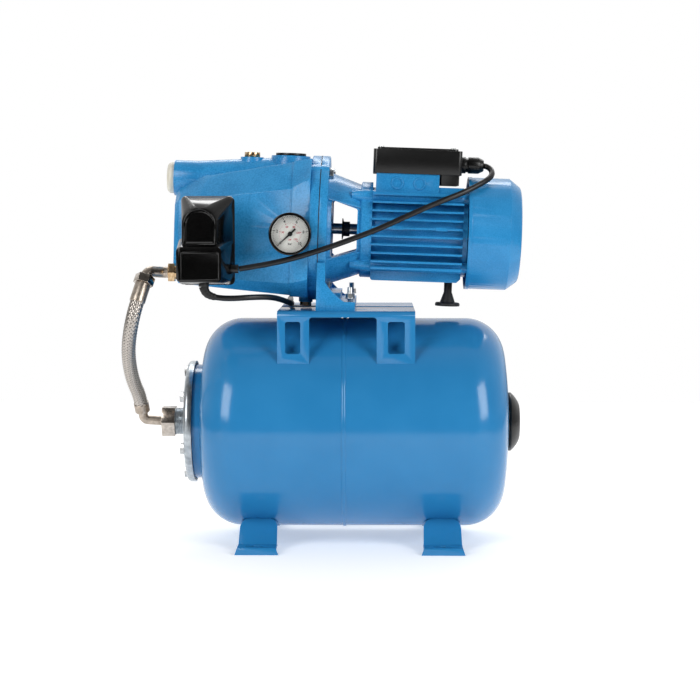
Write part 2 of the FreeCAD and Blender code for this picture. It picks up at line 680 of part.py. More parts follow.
def make_wet_parts():
    keep("ejector", turned("ejector", [
        (-170, 9), (-170, 17), (-165, 17), (-165, 12), (-110, 12), (-80, 15), (-60, 15),
        (-60, 11), (-80, 11), (-112, 5), (-150, 9)]), LEAN)
    keep("diffuser", turned("diffuser", [
        (-60, 11.5), (-60, 18), (-36, 18), (-36, 68), (-SPIGOT, 68), (-SPIGOT, 64),
        (-33, 64), (-33, 14.5), (-56, 14.5), (-56, 11.5)]), LEAN)
    hub = turned("impeller_hub", [(-30, 5.05), (-30, 16), (-28, 16), (-28, 13), (-12, 18),
                                  (-12, dim("impeller_radius")),
                                  (-9, dim("impeller_radius")), (-9, 5.05)])
    shroud = turned("impeller_shroud", [(-29, 15), (-29, 17.5), (-21, dim("impeller_radius")),
                                        (-19, dim("impeller_radius")), (-26, 15)])
    blades = []
    for turn in range(6):
        blade = block((-27, 13, -1.2), (-11, 40, 1.2))
        blade.Placement = FreeCAD.Placement(Vector(-27, 13, -1.2),
                                            FreeCAD.Rotation(X_AXIS, -25))
        blades.append(spun(60 * turn, blade))
    keep("impeller", joined(hub, shroud, *blades), LEAN)
    keep("seal_head", turned("seal_head", [
        (-9, SHAFT_R - 0.5), (-9, 11), (-3, 13), (4, 13), (4, SHAFT_R - 0.5)]), LEAN)
    keep("seal_cover", turned("seal_cover", [
        (-SPIGOT, 15), (-SPIGOT, 75), (0, 75), (0, 60), (2, 58), (2, 15)]), LEAN)
    keep("casing_o_ring", turned("o_ring", [
        (-SPIGOT, 75), (-SPIGOT, 78), (0, 78), (0, 75)]), LEAN)


def make_bracket():
    flange = turned("bracket_flange", [(0, 14), (0, CASING_R), (9.5, CASING_R),
                                       (10.5, CASING_R - 1), (10.5, 14)])
    lantern = turned("lantern", [(9, 14), (9, 73), (57, 56), (57, 17.5), (52, 17.5),
                                 (52, 46), (14, 63), (14, 14)])
    seat = turned("motor_flange", [(52, 17.5), (52, 60), (53.5, 61.5), (MOTOR_L, 61.5),
                                   (MOTOR_L, 54), (61, 54), (61, 22), (69, 20), (69, 17.5)])
    seal_hub = turned("seal_hub", [(9, 15), (9, 20), (24, 18), (26, 16), (26, 15)])
    lugs = [rod((58, *tie_rod(angle)), X_AXIS, 8, MOTOR_L - 58) for angle in ROD_ANGLES]
    lugs += [cone((40, *tie_rod(angle)), X_AXIS, 5.5, 8, 18) for angle in ROD_ANGLES]
    ridge_cone = turned("ridge_cone", [(9, 40), (9, 75.5), (57, 58.5), (57, 40)])
    strips = [padded("ridge_strip", "XZ", [(8, -side * 41), (56, -side * 29),
                                           (56, -side * 26.5), (8, -side * 38)], -80, 80)
              for side in (-1, 1)]
    ridges = common(ridge_cone, joined(*strips))
    pads = [rod((0, *flange_bolt(angle)), X_AXIS, 9.5, 10.5) for angle in FLANGE_ANGLES]
    foot = block((0, -88, FOOT_LOW), (49, 88, FOOT_LOW + 18))
    skirt = block((0, -88, FOOT_LOW), (10.5, 88, -42))
    ribs = []
    for y in (-88, 79):
        ribs.append(padded("bracket_rib", "XZ", [
            (0, -98), (49, -98), (49, -91.5), (38, -91.5), (7.4, -61, -78.0), (7.4, -44),
            (0, -44)], -y - 9, -y))
    web = block((10, -66, -98), (30, 66, -80))
    solid = joined(flange, lantern, seat, seal_hub, ridges, foot, skirt, web,
                   *lugs, *pads, *ribs)
    windows = padded("lantern_window", "XZ", [
        (18, -36), (45, -27), (48, -24, 4.0), (48, 24), (45, 27, 4.0), (18, 36),
        (15, 33, 4.0), (15, -33)], -80, 80)
    bore = rod((-1, 0, 0), X_AXIS, 14.5, 20)
    recess = turned("bracket_recess", [(-1, 0), (-1, 60), (2, 60), (2, 0)])
    bolt_holes = [rod((-1, *flange_bolt(angle)), X_AXIS, 4.1, 13) for angle in FLANGE_ANGLES]
    rod_holes = [rod((51, *tie_rod(angle)), X_AXIS, 2.6, 24) for angle in ROD_ANGLES]
    row_foot = group(block((-200, -200, -60), (300, 200, RAIL_TOP)))
    row_foot.Placement = LEAN.inverse()
    studs = []
    for y in (-FOOT_STUD_Y, FOOT_STUD_Y):
        hole = rod((0, 0, 0), Z_AXIS, 3.3, 60)
        hole.Placement = LEAN.inverse().multiply(
            FreeCAD.Placement(Vector(FOOT_STUD_X, y, float(RAIL_TOP) - 5), FreeCAD.Rotation()))
        studs.append(hole)
    keep("motor_bracket", cut(solid, windows, bore, recess, row_foot, *studs,
                              *bolt_holes, *rod_holes), LEAN)


def tie_rod(angle):
    return on_circle(61.5, angle)


def make_fasteners():
    bolts = []
    for angle in FLANGE_ANGLES:
        y, z = flange_bolt(angle)
        bolts.append(joined(hexagon((10.5, y, z), X_AXIS, 13, 5.5, spin=angle),
                            rod((-12, y, z), X_AXIS, 4, 23)))
    keep("flange_bolts", group(*bolts), LEAN)
    foot_bolts = []
    for y in (-FOOT_STUD_Y, FOOT_STUD_Y):
        foot_bolts.append(joined(
            rod((FOOT_STUD_X, y, RAIL_TOP - SHEET - 1), Z_AXIS, 3.2, 32),
            hexagon((FOOT_STUD_X, y, RAIL_TOP - SHEET - 5), Z_AXIS, 10, 5),
            rod((FOOT_STUD_X, y, RAIL_TOP + 14.2), Z_AXIS, 6.2, 1.2),
            hexagon((FOOT_STUD_X, y, RAIL_TOP + 15.4), Z_AXIS, 10, 5)))
    keep("foot_bolts", group(*foot_bolts))
    rods = []
    for angle in ROD_ANGLES:
        y, z = tie_rod(angle)
        rods.append(joined(rod((52, y, z), X_AXIS, 2.5, ARM_X + ARM - 52),
                           hexagon((ARM_X + ARM, y, z), X_AXIS, 8, 4, spin=angle)))
    keep("tie_rods", group(*rods), LEAN)


def make_plugs():
    keep("filler_plug", turned("filler_plug", [
        (0, 76), (8.3, 76), (8.3, 88.4), (10, 88.4), (10, 94.6), (0, 94.6)], "V_Axis"),
        LEAN.multiply(FreeCAD.Placement(Vector(FILLER_X, 0, 0), FreeCAD.Rotation())))
    keep("discharge_plug", turned("discharge_plug", [
        (0, 84), (PORT_R, 84), (PORT_R, 91.5), (19.5, 91.5), (19.5, 95), (0, 95)], "V_Axis"),
        LEAN.multiply(FreeCAD.Placement(Vector(OUTLET_X, 0, 0), FreeCAD.Rotation())))
    keep("suction_plug", turned("suction_plug", [
        (-199, 10), (-199, 17), (-196, 20), (-190, 20), (-190, PORT_R), (-180, PORT_R),
        (-180, 0), (-183, 0), (-183, 10)]),
        LEAN.multiply(FreeCAD.Placement(Vector(0, 0, float(NOZZLE_Z)), FreeCAD.Rotation())))
    keep("drain_plug", joined(rod((-16, 0, -96), Z_AXIS, 4.95, 14),
                              hexagon((-16, 0, -101), Z_AXIS, 13, 5)), LEAN)


# ---------------------------------------------------------------- motor


def make_motor():
    shell = rod((MOTOR_L, 0, 0), X_AXIS, SHELL_R, MOTOR_R - MOTOR_L)
    fins = []
    for step in range(8):
        z = 36.4 - step * float(dim("fin_pitch"))
        fins.append(block((MOTOR_L, -MOTOR_HALF, z - FIN_HALF),
                          (MOTOR_R, MOTOR_HALF, z + FIN_HALF)))
    for step in range(-3, 4):
        y = step * float(dim("fin_pitch"))
        fins.append(padded("low_fin", "XZ", [
            (MOTOR_L + 2, -MOTOR_HALF), (MOTOR_R - 5, -MOTOR_HALF), (MOTOR_R, -MOTOR_HALF + 5),
            (MOTOR_R, 0), (MOTOR_L, 0), (MOTOR_L, -MOTOR_HALF + 2)], y - 1, y + 1))
    ledges = [block((MOTOR_L, -56, z - 1.7), (MOTOR_R, 56, z + 1.7)) for z in (-47, 47)]
    lugs = [rod((MOTOR_L, *tie_rod(angle)), X_AXIS, 7.6, MOTOR_R - MOTOR_L)
            for angle in ROD_ANGLES]
    base = block((MOTOR_L + 3.5, -48, 44), (150, 48, 73))
    shelf = block((148, -46, 44), (MOTOR_R, 46, 57))
    discs = [cut(rod((x, -47, 61), -Y_AXIS, 7.5, 2.2), rod((x, -48, 61), -Y_AXIS, 5.8, 2))
             for x in (97, 125.4)]
    tabs = [block((x, -MOTOR_HALF - 1, 2.2), (x + 15, -MOTOR_HALF + 4, 6.6)) for x in (92, 147)]
    solid = joined(shell, *fins, *ledges, *lugs, base, shelf, *discs, *tabs)
    bore = rod((MOTOR_L - 1, 0, 0), X_AXIS, STATOR_R, MOTOR_R - MOTOR_L + 2)
    rod_holes = [rod((MOTOR_L - 1, *tie_rod(angle)), X_AXIS, 2.6, MOTOR_R - MOTOR_L + 2)
                 for angle in ROD_ANGLES]
    well = block((92, -30, 40), (140, 30, 74))
    keep("motor_housing", cut(solid, bore, well, *rod_holes), LEAN)
    keep("stator_core", turned("stator_core", [
        (85, 30), (85, STATOR_R), (165, STATOR_R), (165, 30)]), LEAN)
    coils = [turned("winding", [(x, 33), (x, 48), (x + 11, 47), (x + 11, 34)]) for x in (74, 165)]
    keep("stator_windings", group(*coils), LEAN)
    shield = turned("rear_shield", [
        (MOTOR_R, 17.5), (MOTOR_R - 4, 17.5), (MOTOR_R - 4, 22), (MOTOR_R, 24),
        (MOTOR_R, 57), (MOTOR_R + 6, 57), (MOTOR_R + 8, 30), (MOTOR_R + 8, 12),
        (MOTOR_R + 7, 12), (MOTOR_R + 7, 17.5)])
    ears = [rod((MOTOR_R, *tie_rod(angle)), X_AXIS, 7, ARM_X - MOTOR_R) for angle in ROD_ANGLES]
    ear_holes = [rod((MOTOR_R - 1, *tie_rod(angle)), X_AXIS, 2.6, 9) for angle in ROD_ANGLES]
    keep("rear_shield", cut(joined(shield, *ears), *ear_holes), LEAN)
    bearings = [turned("bearing", [(x, SHAFT_R + GAP), (x, 17.5), (x + 11, 17.5),
                                   (x + 11, SHAFT_R + GAP)]) for x in (58, 178)]
    keep("bearings", group(*bearings), LEAN)
    keep("rotor_shaft", turned("rotor_shaft", [
        (-32, 0), (-32, 5), (-9, 5), (-9, SHAFT_R - 0.5), (50, SHAFT_R - 0.5),
        (50, SHAFT_R), (74, SHAFT_R), (74, 10), (170, 10), (170, SHAFT_R), (196, SHAFT_R),
        (196, 6), (238, 6), (238, 0)]), LEAN)
    keep("rotor_core", turned("rotor_core", [
        (84, 10), (84, ROTOR_R), (166, ROTOR_R), (166, 10)]), LEAN)
    keep("water_slinger", turned("water_slinger", [
        (28, SHAFT_R - 0.5), (28, 13.5), (29.2, 13.5), (30.2, 9.5), (38, 9.5),
        (38, SHAFT_R - 0.5)]), LEAN)
    hub = turned("fan_hub", [(204, 6), (204, 16), (228, 13), (228, 6)])
    disc = turned("fan_disc", [(206, 14), (206, 60), (207.5, 60), (207.5, 14)])
    blades = []
    for turn in range(7):
        blades.append(spun(360 / 7 * turn, block((207, 12, -1), (229, 60, 1))))
    keep("cooling_fan", joined(hub, disc, *blades), LEAN)


def make_fan_cover():
    left, right, wall = ARM_X, 256.5, 2.0
    cup = turned("fan_cup", [
        (left, COVER_R - wall), (left, COVER_R + 0.6), (left + 5, COVER_R + 0.6),
        (left + 5, COVER_R), (right - 15, COVER_R), (right - 2, COVER_R - 10),
        (right, COVER_R - 14, -8.0), (right, 0), (right - wall, 0),
        (right - wall, COVER_R - 14), (right - 3.6, COVER_R - 11.4),
        (right - 16, COVER_R - wall)])
    slots = []
    for radius in (18, 28, 38, 48):
        slots.append(turned("slot_band", [(right - 6, radius - 3), (right - 6, radius + 3),
                                          (right + 2, radius + 3), (right + 2, radius - 3)]))
    spokes = []
    for turn in range(8):
        spokes.append(spun(45 * turn, block((right - wall, 0, -3), (right, COVER_R - 16, 3))))
    arms = []
    for turn in range(4):
        arms.append(spun(90 * turn + 45, block((left, 54, -4), (left + ARM, COVER_R - 0.5, 4))))
    screws = [rod((left - 1, *tie_rod(angle)), X_AXIS, 2.6, ARM + 2) for angle in ROD_ANGLES]
    keep("fan_cover", cut(joined(cut(cup, *slots), *spokes, *arms), *screws), LEAN)


def make_terminal_box():
    left, right, low, high = 65.6, BOX_RIGHT, 73.0, 103.5
    outside = padded("box_outside", "XY", rounded_loop(left, -50, right, 50, 5), low, high)
    crown = padded("box_crown", "XY", rounded_loop(left + 5, -45, right - 5, 45, 5),
                   high - 1, high + 2.5)
    room = padded("box_room", "XY", rounded_loop(left + 2.5, -47.5, right - 2.5, 47.5, 3),
                  low - 1, high - 2)
    floor = block((left + 2, -48, low), (right - 2, 48, low + 2.5))
    wire_way = block((100, -20, low - 1), (132, 20, low + 4))
    bush = rod((right - 4, GLAND_Y, GLAND_Z), X_AXIS, 8, 10)
    belly = block((152.5, -44, 60), (175, 44, low + 4))
    keep("terminal_box", cut(joined(cut(joined(outside, crown), room), floor, belly),
                             wire_way, bush), LEAN)
    keep("capacitor", joined(rod((84, 24, 88.2), X_AXIS, 12.5, 56),
                             rod((139, 24, 88.2), X_AXIS, 4, 6)), LEAN)


def make_glands():
    """The motor's screwed gland and the switch's two plain ones."""
    lead, right = float(dim("lead_diameter")) / 2, BOX_RIGHT
    gland = turned("gland", [
        (right - 4, lead), (right - 4, 7.9), (right, 7.9), (right, 10.5), (right + 6, 10.5),
        (right + 6, 9), (right + 9, 9), (right + 9, 10.5), (right + 22, 10.5),
        (right + 27, 8), (right + 29, 6, -3.0), (right + 29, lead)])
    gland.Placement = LEAN.multiply(
        FreeCAD.Placement(Vector(0, GLAND_Y, GLAND_Z), FreeCAD.Rotation()))
    keep("cable_glands", group(gland, rod((-150, LEAD_Y, 356), X_AXIS, 5.4, 12),
                               rod((-181, LEAD_Y, 334), Z_AXIS, 6.5, 7)))


def make_stay_foot():
    keep("stay_foot", turned("stay_foot", [
        (0, -MOTOR_HALF), (5.2, -MOTOR_HALF), (5.2, -77), (9, -88), (10, -90.5),
        (15, -90.5), (16, -92), (16, -95), (0, -95)], "V_Axis"),
        LEAN.multiply(FreeCAD.Placement(Vector(168, 0, 0), FreeCAD.Rotation())))


# ---------------------------------------------------------------- gauge


def make_gauge():
    """Drawn about +Z, then turned to look out of the front of the pump."""
    keep("gauge_case", turned("gauge_case", [
        (0, 70), (4.9, 70), (4.9, 86), (8, 88), (8, 94), (GAUGE_R - 2, 94),
        (GAUGE_R, 96, 2.0), (GAUGE_R, 113.5), (GAUGE_R - 1.5, 115, 1.5), (GAUGE_R - 3.5, 115),
        (GAUGE_R - 3.5, 110.5), (GAUGE_R - 2.5, 110.5), (GAUGE_R - 2.5, 97),
        (0, 97)], "V_Axis"), GAUGE)
    keep("gauge_dial", turned("gauge_dial", [
        (1.2, 103), (GAUGE_R - 2.6, 103), (GAUGE_R - 2.6, 104), (1.2, 104)], "V_Axis"), GAUGE)
    keep("gauge_window", turned("gauge_window", [
        (0, 109), (GAUGE_R - 2.6, 109), (GAUGE_R - 2.6, 110.4), (0, 110.4)], "V_Axis"), GAUGE)
    pin = turned("needle_hub", [(0, 98), (1, 98), (1, 105), (3, 105), (3, 107.5),
                                (0, 107.5)], "V_Axis")
    pointer = padded("needle_blade", "XY", [
        (-1.2, -9), (1.2, -9), (1.2, 0), (0.3, 19), (-0.3, 19), (-1.2, 0)], 105.6, 106.4)
    pointing = group(pointer)
    pointing.Placement = FreeCAD.Placement(Vector(), FreeCAD.Rotation(Z_AXIS, 135))
    keep("gauge_needle", joined(pin, pointing), GAUGE)


# ---------------------------------------------------------------- pressure switch


def make_switch():
    front = -SWITCH_Y
    plate = padded("switch_plate", "XZ", rounded_loop(-209, 336, -143, 445, 6),
                   front - 3, front)
    port = rod((SWITCH_X + 2, SWITCH_Y + 3, TEE.z), Y_AXIS, 13, 2)
    posts = [rod((x, SWITCH_Y, SPRING_Z), -Y_AXIS, 2, 28) for x in SPRING_X]
    nuts = [rod((x, SWITCH_Y - 25.6, SPRING_Z), -Y_AXIS, 5.5, 3) for x in SPRING_X]
    guide = rod((SWITCH_X + 2, SWITCH_Y + 10, TEE.z), -Y_AXIS, 4.05, 20)
    keep("switch_base", cut(joined(plate, port, *posts, *nuts), guide))
    lower = lofted_cover("switch_lower", (-213, 336.5, -144, 394, 6),
                         (-211, 341, -156, 384, 6), 45)
    upper = lofted_cover("switch_upper", (-209, 370, -144, 446, 6),
                         (-204.5, 372, -162.5, 431, 19), 36)
    room = padded("switch_room", "XZ", rounded_loop(-203, 372, -168, 424, 4),
                  front - 1, front + 28)
    low_room = padded("switch_low_room", "XZ", rounded_loop(-208, 343, -159, 382.5, 3),
                      front - 1, front + 41)
    pivot_room = padded("switch_pivot_room", "XZ", rounded_loop(-203, 380, -157, 388, 2),
                        front - 1, front + 10)
    arch = padded("switch_arch", "XZ", [
        (-202, 387), (-165, 387), (-165, 411), (-202, 411, 18.9)], front + 34, front + 50)
    panel = padded("switch_panel", "XZ", rounded_loop(-204, 345, -160, 376, 2),
                   front + 44, front + 46)
    lead_hole = rod((-162, LEAD_Y, 356), X_AXIS, 5.5, 30)
    mains_hole = rod((-181, LEAD_Y, 330), Z_AXIS, 6.6, 20)
    keep("switch_cover", cut(joined(lower, upper), room, low_room, pivot_room, arch, panel,
                             lead_hole, mains_hole))
    springs = [cut(rod((x, SWITCH_Y - 8.6, SPRING_Z), -Y_AXIS, 5, 17),
                   rod((x, SWITCH_Y - 8, SPRING_Z), -Y_AXIS, 2.6, 19)) for x in SPRING_X]
    keep("switch_springs", group(*springs))
    lever = joined(block((-200, SWITCH_Y - 7.5, 346), (-160, SWITCH_Y - 6, LEVER_TOP)),
                   rod((-200, SWITCH_Y - 6.5, LEVER_TOP), X_AXIS, 1.6, 40))
    holes = [rod((x, SWITCH_Y - 5, SPRING_Z), -Y_AXIS, 3.2, 4) for x in SPRING_X]
    keep("switch_lever", cut(lever, *holes))
    keep("switch_plunger", group(rod((SWITCH_X + 2, SWITCH_Y + 2, TEE.z), -Y_AXIS, 4, 7.6)))


def lofted_cover(label, at_plate, at_front, depth):
    """A part of the cover whose sides slope in towards the front."""
    body = new_body(label)
    sketches = [new_sketch(body, "XZ", -float(SWITCH_Y) + forward, rounded_loop(*loop))
                for forward, loop in ((0, at_plate), (depth, at_front))]
    loft = body.newObject("PartDesign::AdditiveLoft", "loft")
    loft.Profile = sketches[0]
    loft.Sections = sketches[1:]
    return body


def make_tee():
    """The brass tee that carries the switch and feeds the hose."""
    port = LEAN.multVec(Vector(SWITCH_PORT_X, 0, SWITCH_PORT_Z))
    body = joined(rod((TEE.x, TEE.y, TEE.z), X_AXIS, 9, 54),
                  hexagon((TEE.x - 4, TEE.y, TEE.z), X_AXIS, 22, 8, spin=30),
                  rod((port.x, TEE.y, port.z), Y_AXIS, 8, 24),
                  rod((SWITCH_X + 2, TEE.y, TEE.z), -Y_AXIS, 7, 10))
    keep("switch_tee", cut(body, rod((TEE.x - 5, TEE.y, TEE.z), X_AXIS, 5.1, 54)))


# ---------------------------------------------------------------- leads
def make_leads():
    lead = float(dim("lead_diameter"))
    start = LEAN.multVec(Vector(float(GLAND_END), GLAND_Y, GLAND_Z))
    make_cord("motor_lead", [
        start, (175, -17, 483.6), (180, -24, 478.5), (179.5, -34, 471.5), (171, -44, 465),
        (157, -53, 457.5), (139, -61.5, 449), (110, -70.5, 438), (74.6, -78, 422.8),
        (37, -85, 405.5), (-0.5, -92.5, 391.5), (-37.7, -99.5, 378.5), (-74, -107, 367.8),
        (-108, -111, 360.5), (-137.3, LEAD_Y, 356)], lead)
    mains = make_cord("mains_lead", [
        (-181, -112, 334), (-180.8, -112, 323), (-169, -111, 315), (-148, -109, 313),
        (-122, -102, 314), (-97, -85, 313), (-81, -60, 309), (-76, -28, 307.5),
        (-78, 6, 308), (-81, 42, 307.5), (-82, 76, 310), (-85, 109, 308), (-89, 131, 288),
        (-92, 146, 256), (-94, 152, 216), (-94, 151, 172), (-92, 150, 128), (-88, 151, 88),
        (-79, 157, 52), (-64, 167, 24), (-42, 177, 8.5), (-24.4, 182.3, 5)], lead)
    turns = COIL_MIDDLE_RADIUS * 2 * pi
    print(f"mains lead: {mains:.0f} on its way, {MAINS_LENGTH - mains:.0f} in"
          f" {(MAINS_LENGTH - mains) / turns:.1f} turns")
    coil = turned("coil", [
        (COIL_MIDDLE_RADIUS - 7.6, 0), (COIL_MIDDLE_RADIUS + 7.6, 0),
        (COIL_MIDDLE_RADIUS + 7.6, 15), (COIL_MIDDLE_RADIUS - 7.6, 15)], "V_Axis")
    coil.Placement = FreeCAD.Placement(COIL_CENTRE, FreeCAD.Rotation())
    tail = Vector(26, 172.7, 15.2)
    nose = Vector(89.3, 153.5, 21.2)
    last_bend = Vector(6, 181, 15.2)
    to_plug = tail - last_bend
    keep("mains_lead_coil", joined(coil, rod(last_bend, to_plug, lead / 2, to_plug.Length + 2)))
    way = (nose - tail).normalize()
    plug = turned("plug_body", [
        (0, 0), (0, 5.2), (26, 7.5), (34, 17), (40, 18.5), (62, 18.5), (62, 0)])
    pins = [joined(rod((62, y, 0), X_AXIS, 2.4, 15), ball((77, y, 0), 2.4))
            for y in (-9.5, 9.5)]
    keep("mains_plug", joined(plug, *pins),
         FreeCAD.Placement(tail, FreeCAD.Rotation(X_AXIS, way)))


# ---------------------------------------------------------------- assembly
make_tank()
make_tank_flange()
make_foot("tank_foot_left", -dim("foot_half_span"))
make_foot("tank_foot_right", dim("foot_half_span"))
make_rail("bracket_rail_front", -1)
make_rail("bracket_rail_rear", 1)
make_air_valve()
make_hose()
make_hose_fittings()
make_casing()
make_wet_parts()
make_bracket()
make_fasteners()
make_plugs()
make_motor()
make_fan_cover()
make_terminal_box()
make_glands()
make_stay_foot()
make_gauge()
make_switch()
make_tee()
make_leads()

# ---------------------------------------------------------------- export
doc.recompute()
faulty = [f"{o.Label}: {o.State}" for o in doc.Objects
          if "Invalid" in o.State or "Error" in o.State]
for label, thing in nodes.items():
    shape = thing.Shape
    if shape.isNull() or not shape.isValid() or not shape.Solids:
        faulty.append(f"{label}: shape is null, invalid or has no solid")
if faulty:
    raise RuntimeError("; ".join(faulty))
os.makedirs("parts", exist_ok=True)
for label, thing in nodes.items():
    thing.Shape.exportStep(f"parts/{label}.step")
    box = thing.Shape.BoundBox
    print(f"{label}: {len(thing.Shape.Solids)} solid, {thing.Shape.Volume / 1000:.1f} cm3,"
          f" X {box.XMin:.1f}..{box.XMax:.1f}, Y {box.YMin:.1f}..{box.YMax:.1f},"
          f" Z {box.ZMin:.1f}..{box.ZMax:.1f}")
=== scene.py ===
# %% [markdown]
# # A water pressure set
# A self-priming jet pump and its motor stand on a horizontal pressure tank. The packed
# CAD model gives every part its place, so this file only makes the surfaces: paints,
# metals, plastics, the woven hose, the leads and the small detail of gauge and switch.

# %% The frame: the CAD model, loaded where it stands
import json
import math

import bmesh
import bpy
from mathutils import Matrix, Vector
from mathutils.bvhtree import BVHTree


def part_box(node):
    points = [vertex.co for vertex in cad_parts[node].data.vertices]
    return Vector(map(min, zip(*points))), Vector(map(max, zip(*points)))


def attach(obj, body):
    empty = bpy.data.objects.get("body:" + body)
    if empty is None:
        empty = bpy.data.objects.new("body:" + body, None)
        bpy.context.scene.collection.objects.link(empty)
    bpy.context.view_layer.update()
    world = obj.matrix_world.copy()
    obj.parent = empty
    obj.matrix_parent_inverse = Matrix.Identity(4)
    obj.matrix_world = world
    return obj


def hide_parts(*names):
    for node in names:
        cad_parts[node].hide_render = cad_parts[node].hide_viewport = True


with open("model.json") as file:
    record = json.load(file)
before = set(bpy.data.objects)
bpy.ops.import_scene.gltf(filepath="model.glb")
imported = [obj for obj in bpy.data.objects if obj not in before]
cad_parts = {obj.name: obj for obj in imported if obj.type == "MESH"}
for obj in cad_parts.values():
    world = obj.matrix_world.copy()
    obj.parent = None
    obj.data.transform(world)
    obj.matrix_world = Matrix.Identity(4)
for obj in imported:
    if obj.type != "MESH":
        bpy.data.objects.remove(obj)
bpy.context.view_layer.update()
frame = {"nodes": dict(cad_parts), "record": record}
MM = 0.001

# %% [markdown]
# ## Camera
# The set is seen from the front with a long lens, from a little above the tank's axis.
# A long lens keeps the two ends of the tank alike, as a maker's catalogue shows it.

# %% The camera
CAMERA_AT = Vector((0.0332, -2.325, 0.436))
LENS, SENSOR = 92.1, 36.0
YAW, PITCH = math.radians(0.86), math.radians(-4.66)
camera = bpy.data.objects.new("camera", bpy.data.cameras.new("camera"))
camera.data.lens, camera.data.sensor_width = LENS, SENSOR
camera.location = CAMERA_AT
camera.rotation_euler = (math.pi / 2 + PITCH, 0, YAW)
bpy.context.scene.collection.objects.link(camera)
bpy.context.scene.camera = camera
print("camera:", LENS, "mm lens,", tuple(round(v, 4) for v in CAMERA_AT))

# %% [markdown]
# ## Colours and nodes
# Colours are written as sRGB hex values, as a paint chart gives them, and one function
# turns them to the linear values that the shader works in. Another adds one node with
# its settings and its links, and every finish is built with it.

# %% Colour and node helpers
def linear(hex_colour):
    """An sRGB hex colour as linear red, green, blue and alpha."""
    parts = [int(hex_colour[i:i + 2], 16) / 255 for i in (1, 3, 5)]
    return (*[p / 12.92 if p < 0.04045 else ((p + 0.055) / 1.055) ** 2.4 for p in parts], 1.0)


def add(tree, kind, settings=None, links=None):
    """Adds a node. Both tables name sockets, by name or number; settings also properties."""
    node = tree.nodes.new("ShaderNode" + kind)
    for key, value in (settings or {}).items():
        if isinstance(key, int) or key in node.inputs:
            node.inputs[key].default_value = value
        else:
            setattr(node, key, value)
    for key, source in (links or {}).items():
        tree.links.new(source, node.inputs[key])
    return node


def ramp(tree, source, stops):
    """A colour ramp through (place, hex colour) stops."""
    node = add(tree, "ValToRGB", {}, {"Fac": source})
    elements = node.color_ramp.elements
    while len(elements) < len(stops):
        elements.new(0.5)
    for element, (place, colour) in zip(elements, stops):
        element.position, element.color = place, linear(colour)
    return node.outputs["Color"]


def finish_named(name):
    """A new material with its node tree and its shader."""
    made = bpy.data.materials.new(name)
    made.use_nodes = True
    tree = made.node_tree
    return made, tree, tree.nodes["Principled BSDF"]


def grain(tree, size_mm, detail=2.0, rough=0.5):
    """Noise whose bumps are size_mm across, in the object's own metres."""
    where = add(tree, "TexCoord").outputs["Object"]
    noise = add(tree, "TexNoise", {"Scale": 1.0 / (size_mm * MM), "Detail": detail,
                                   "Roughness": rough}, {"Vector": where})
    return noise.outputs["Fac"]


def bump(tree, shader, height, depth_mm, strength=1.0):
    """Feeds a height pattern to the shader's normal; depth_mm is its real depth."""
    node = add(tree, "Bump", {"Strength": strength, "Distance": depth_mm * MM}, {"Height": height})
    tree.links.new(node.outputs["Normal"], shader.inputs["Normal"])
    return node


def set_shader(shader, **values):
    """Sets the shader's own sockets; an underscore stands for a space in a name."""
    for key, value in values.items():
        shader.inputs[key.replace("_", " ")].default_value = value


def share(tree, low, high, source):
    """A value from low to high as the source goes from 0 to 1."""
    return add(tree, "MapRange", {3: low, 4: high}, {0: source}).outputs[0]


# %% [markdown]
# ## Paints
# The tank wears a smooth stoved enamel: glossy, with the faint orange peel of spraying.
# The castings wear the same blue over rough iron, so the sand's grain shows through and
# breaks up the shine; the hollows between its bumps carry painted shade. Both are
# dielectrics with a paint's usual IOR, so they differ in grain and roughness only. Sand
# grain is near 0.3 mm; it is drawn as 2 mm, because a finer one wouldn't show.

# %% Sprayed enamel on sheet steel
PAINT_IOR = 1.48


def enamel(name, shade, light, peel_mm, depth_mm, roughness):
    """Smooth paint with slow clouds of colour and the low waves of spraying."""
    made, tree, shader = finish_named(name)
    cloud = grain(tree, 60, 3)
    colour = ramp(tree, cloud, [(0.35, shade), (0.65, light)])
    tree.links.new(colour, shader.inputs["Base Color"])
    peel = grain(tree, peel_mm, 1)
    bump(tree, shader, peel, depth_mm, 0.6)
    tree.links.new(share(tree, roughness - 0.03, roughness + 0.04, cloud),
                   shader.inputs["Roughness"])
    set_shader(shader, IOR=PAINT_IOR, Specular_IOR_Level=0.5)
    return made


TANK_ENAMEL = enamel("stoved enamel on sheet steel", "#2579b0", "#297db4", 6, 0.02, 0.17)
RAIL_ENAMEL = enamel("stoved enamel on pressings", "#257bb4", "#2a7fb8", 5, 0.02, 0.2)
print("enamels:", TANK_ENAMEL.name, "and", RAIL_ENAMEL.name)


# %% Paint over cast metal
def cast_paint(name, shade, light, grain_mm, depth_mm, roughness):
    """Random clouds of tone, with painted shade between the grain's bumps, lighter on them."""
    made, tree, shader = finish_named(name)
    sand = grain(tree, grain_mm, 4, 0.6)
    cloud = grain(tree, 35, 3)
    # The grain's height also sets the colour: darker between its bumps as painted shade, over slow
    # random clouds of tone.
    tone_and_painted_shade = add(tree, "Math", {"operation": "MULTIPLY_ADD", 1: 0.5}, {0: cloud, 2: sand})
    colour = ramp(tree, tone_and_painted_shade.outputs[0], [(0.62, shade), (0.88, light)])
    tree.links.new(colour, shader.inputs["Base Color"])
    bump(tree, shader, sand, depth_mm, 0.8)
    set_shader(shader, Roughness=roughness, IOR=PAINT_IOR, Specular_IOR_Level=0.4)
    return made


IRON_PAINT = cast_paint("paint over sand cast iron", "#2280ba", "#3595cf", 2.0, 0.14, 0.26)
MOTOR_PAINT = cast_paint("paint over die cast aluminium", "#217db6", "#2f8bc4", 1.4, 0.05,
                         0.24)
print("cast paints:", IRON_PAINT.name, "and", MOTOR_PAINT.name)


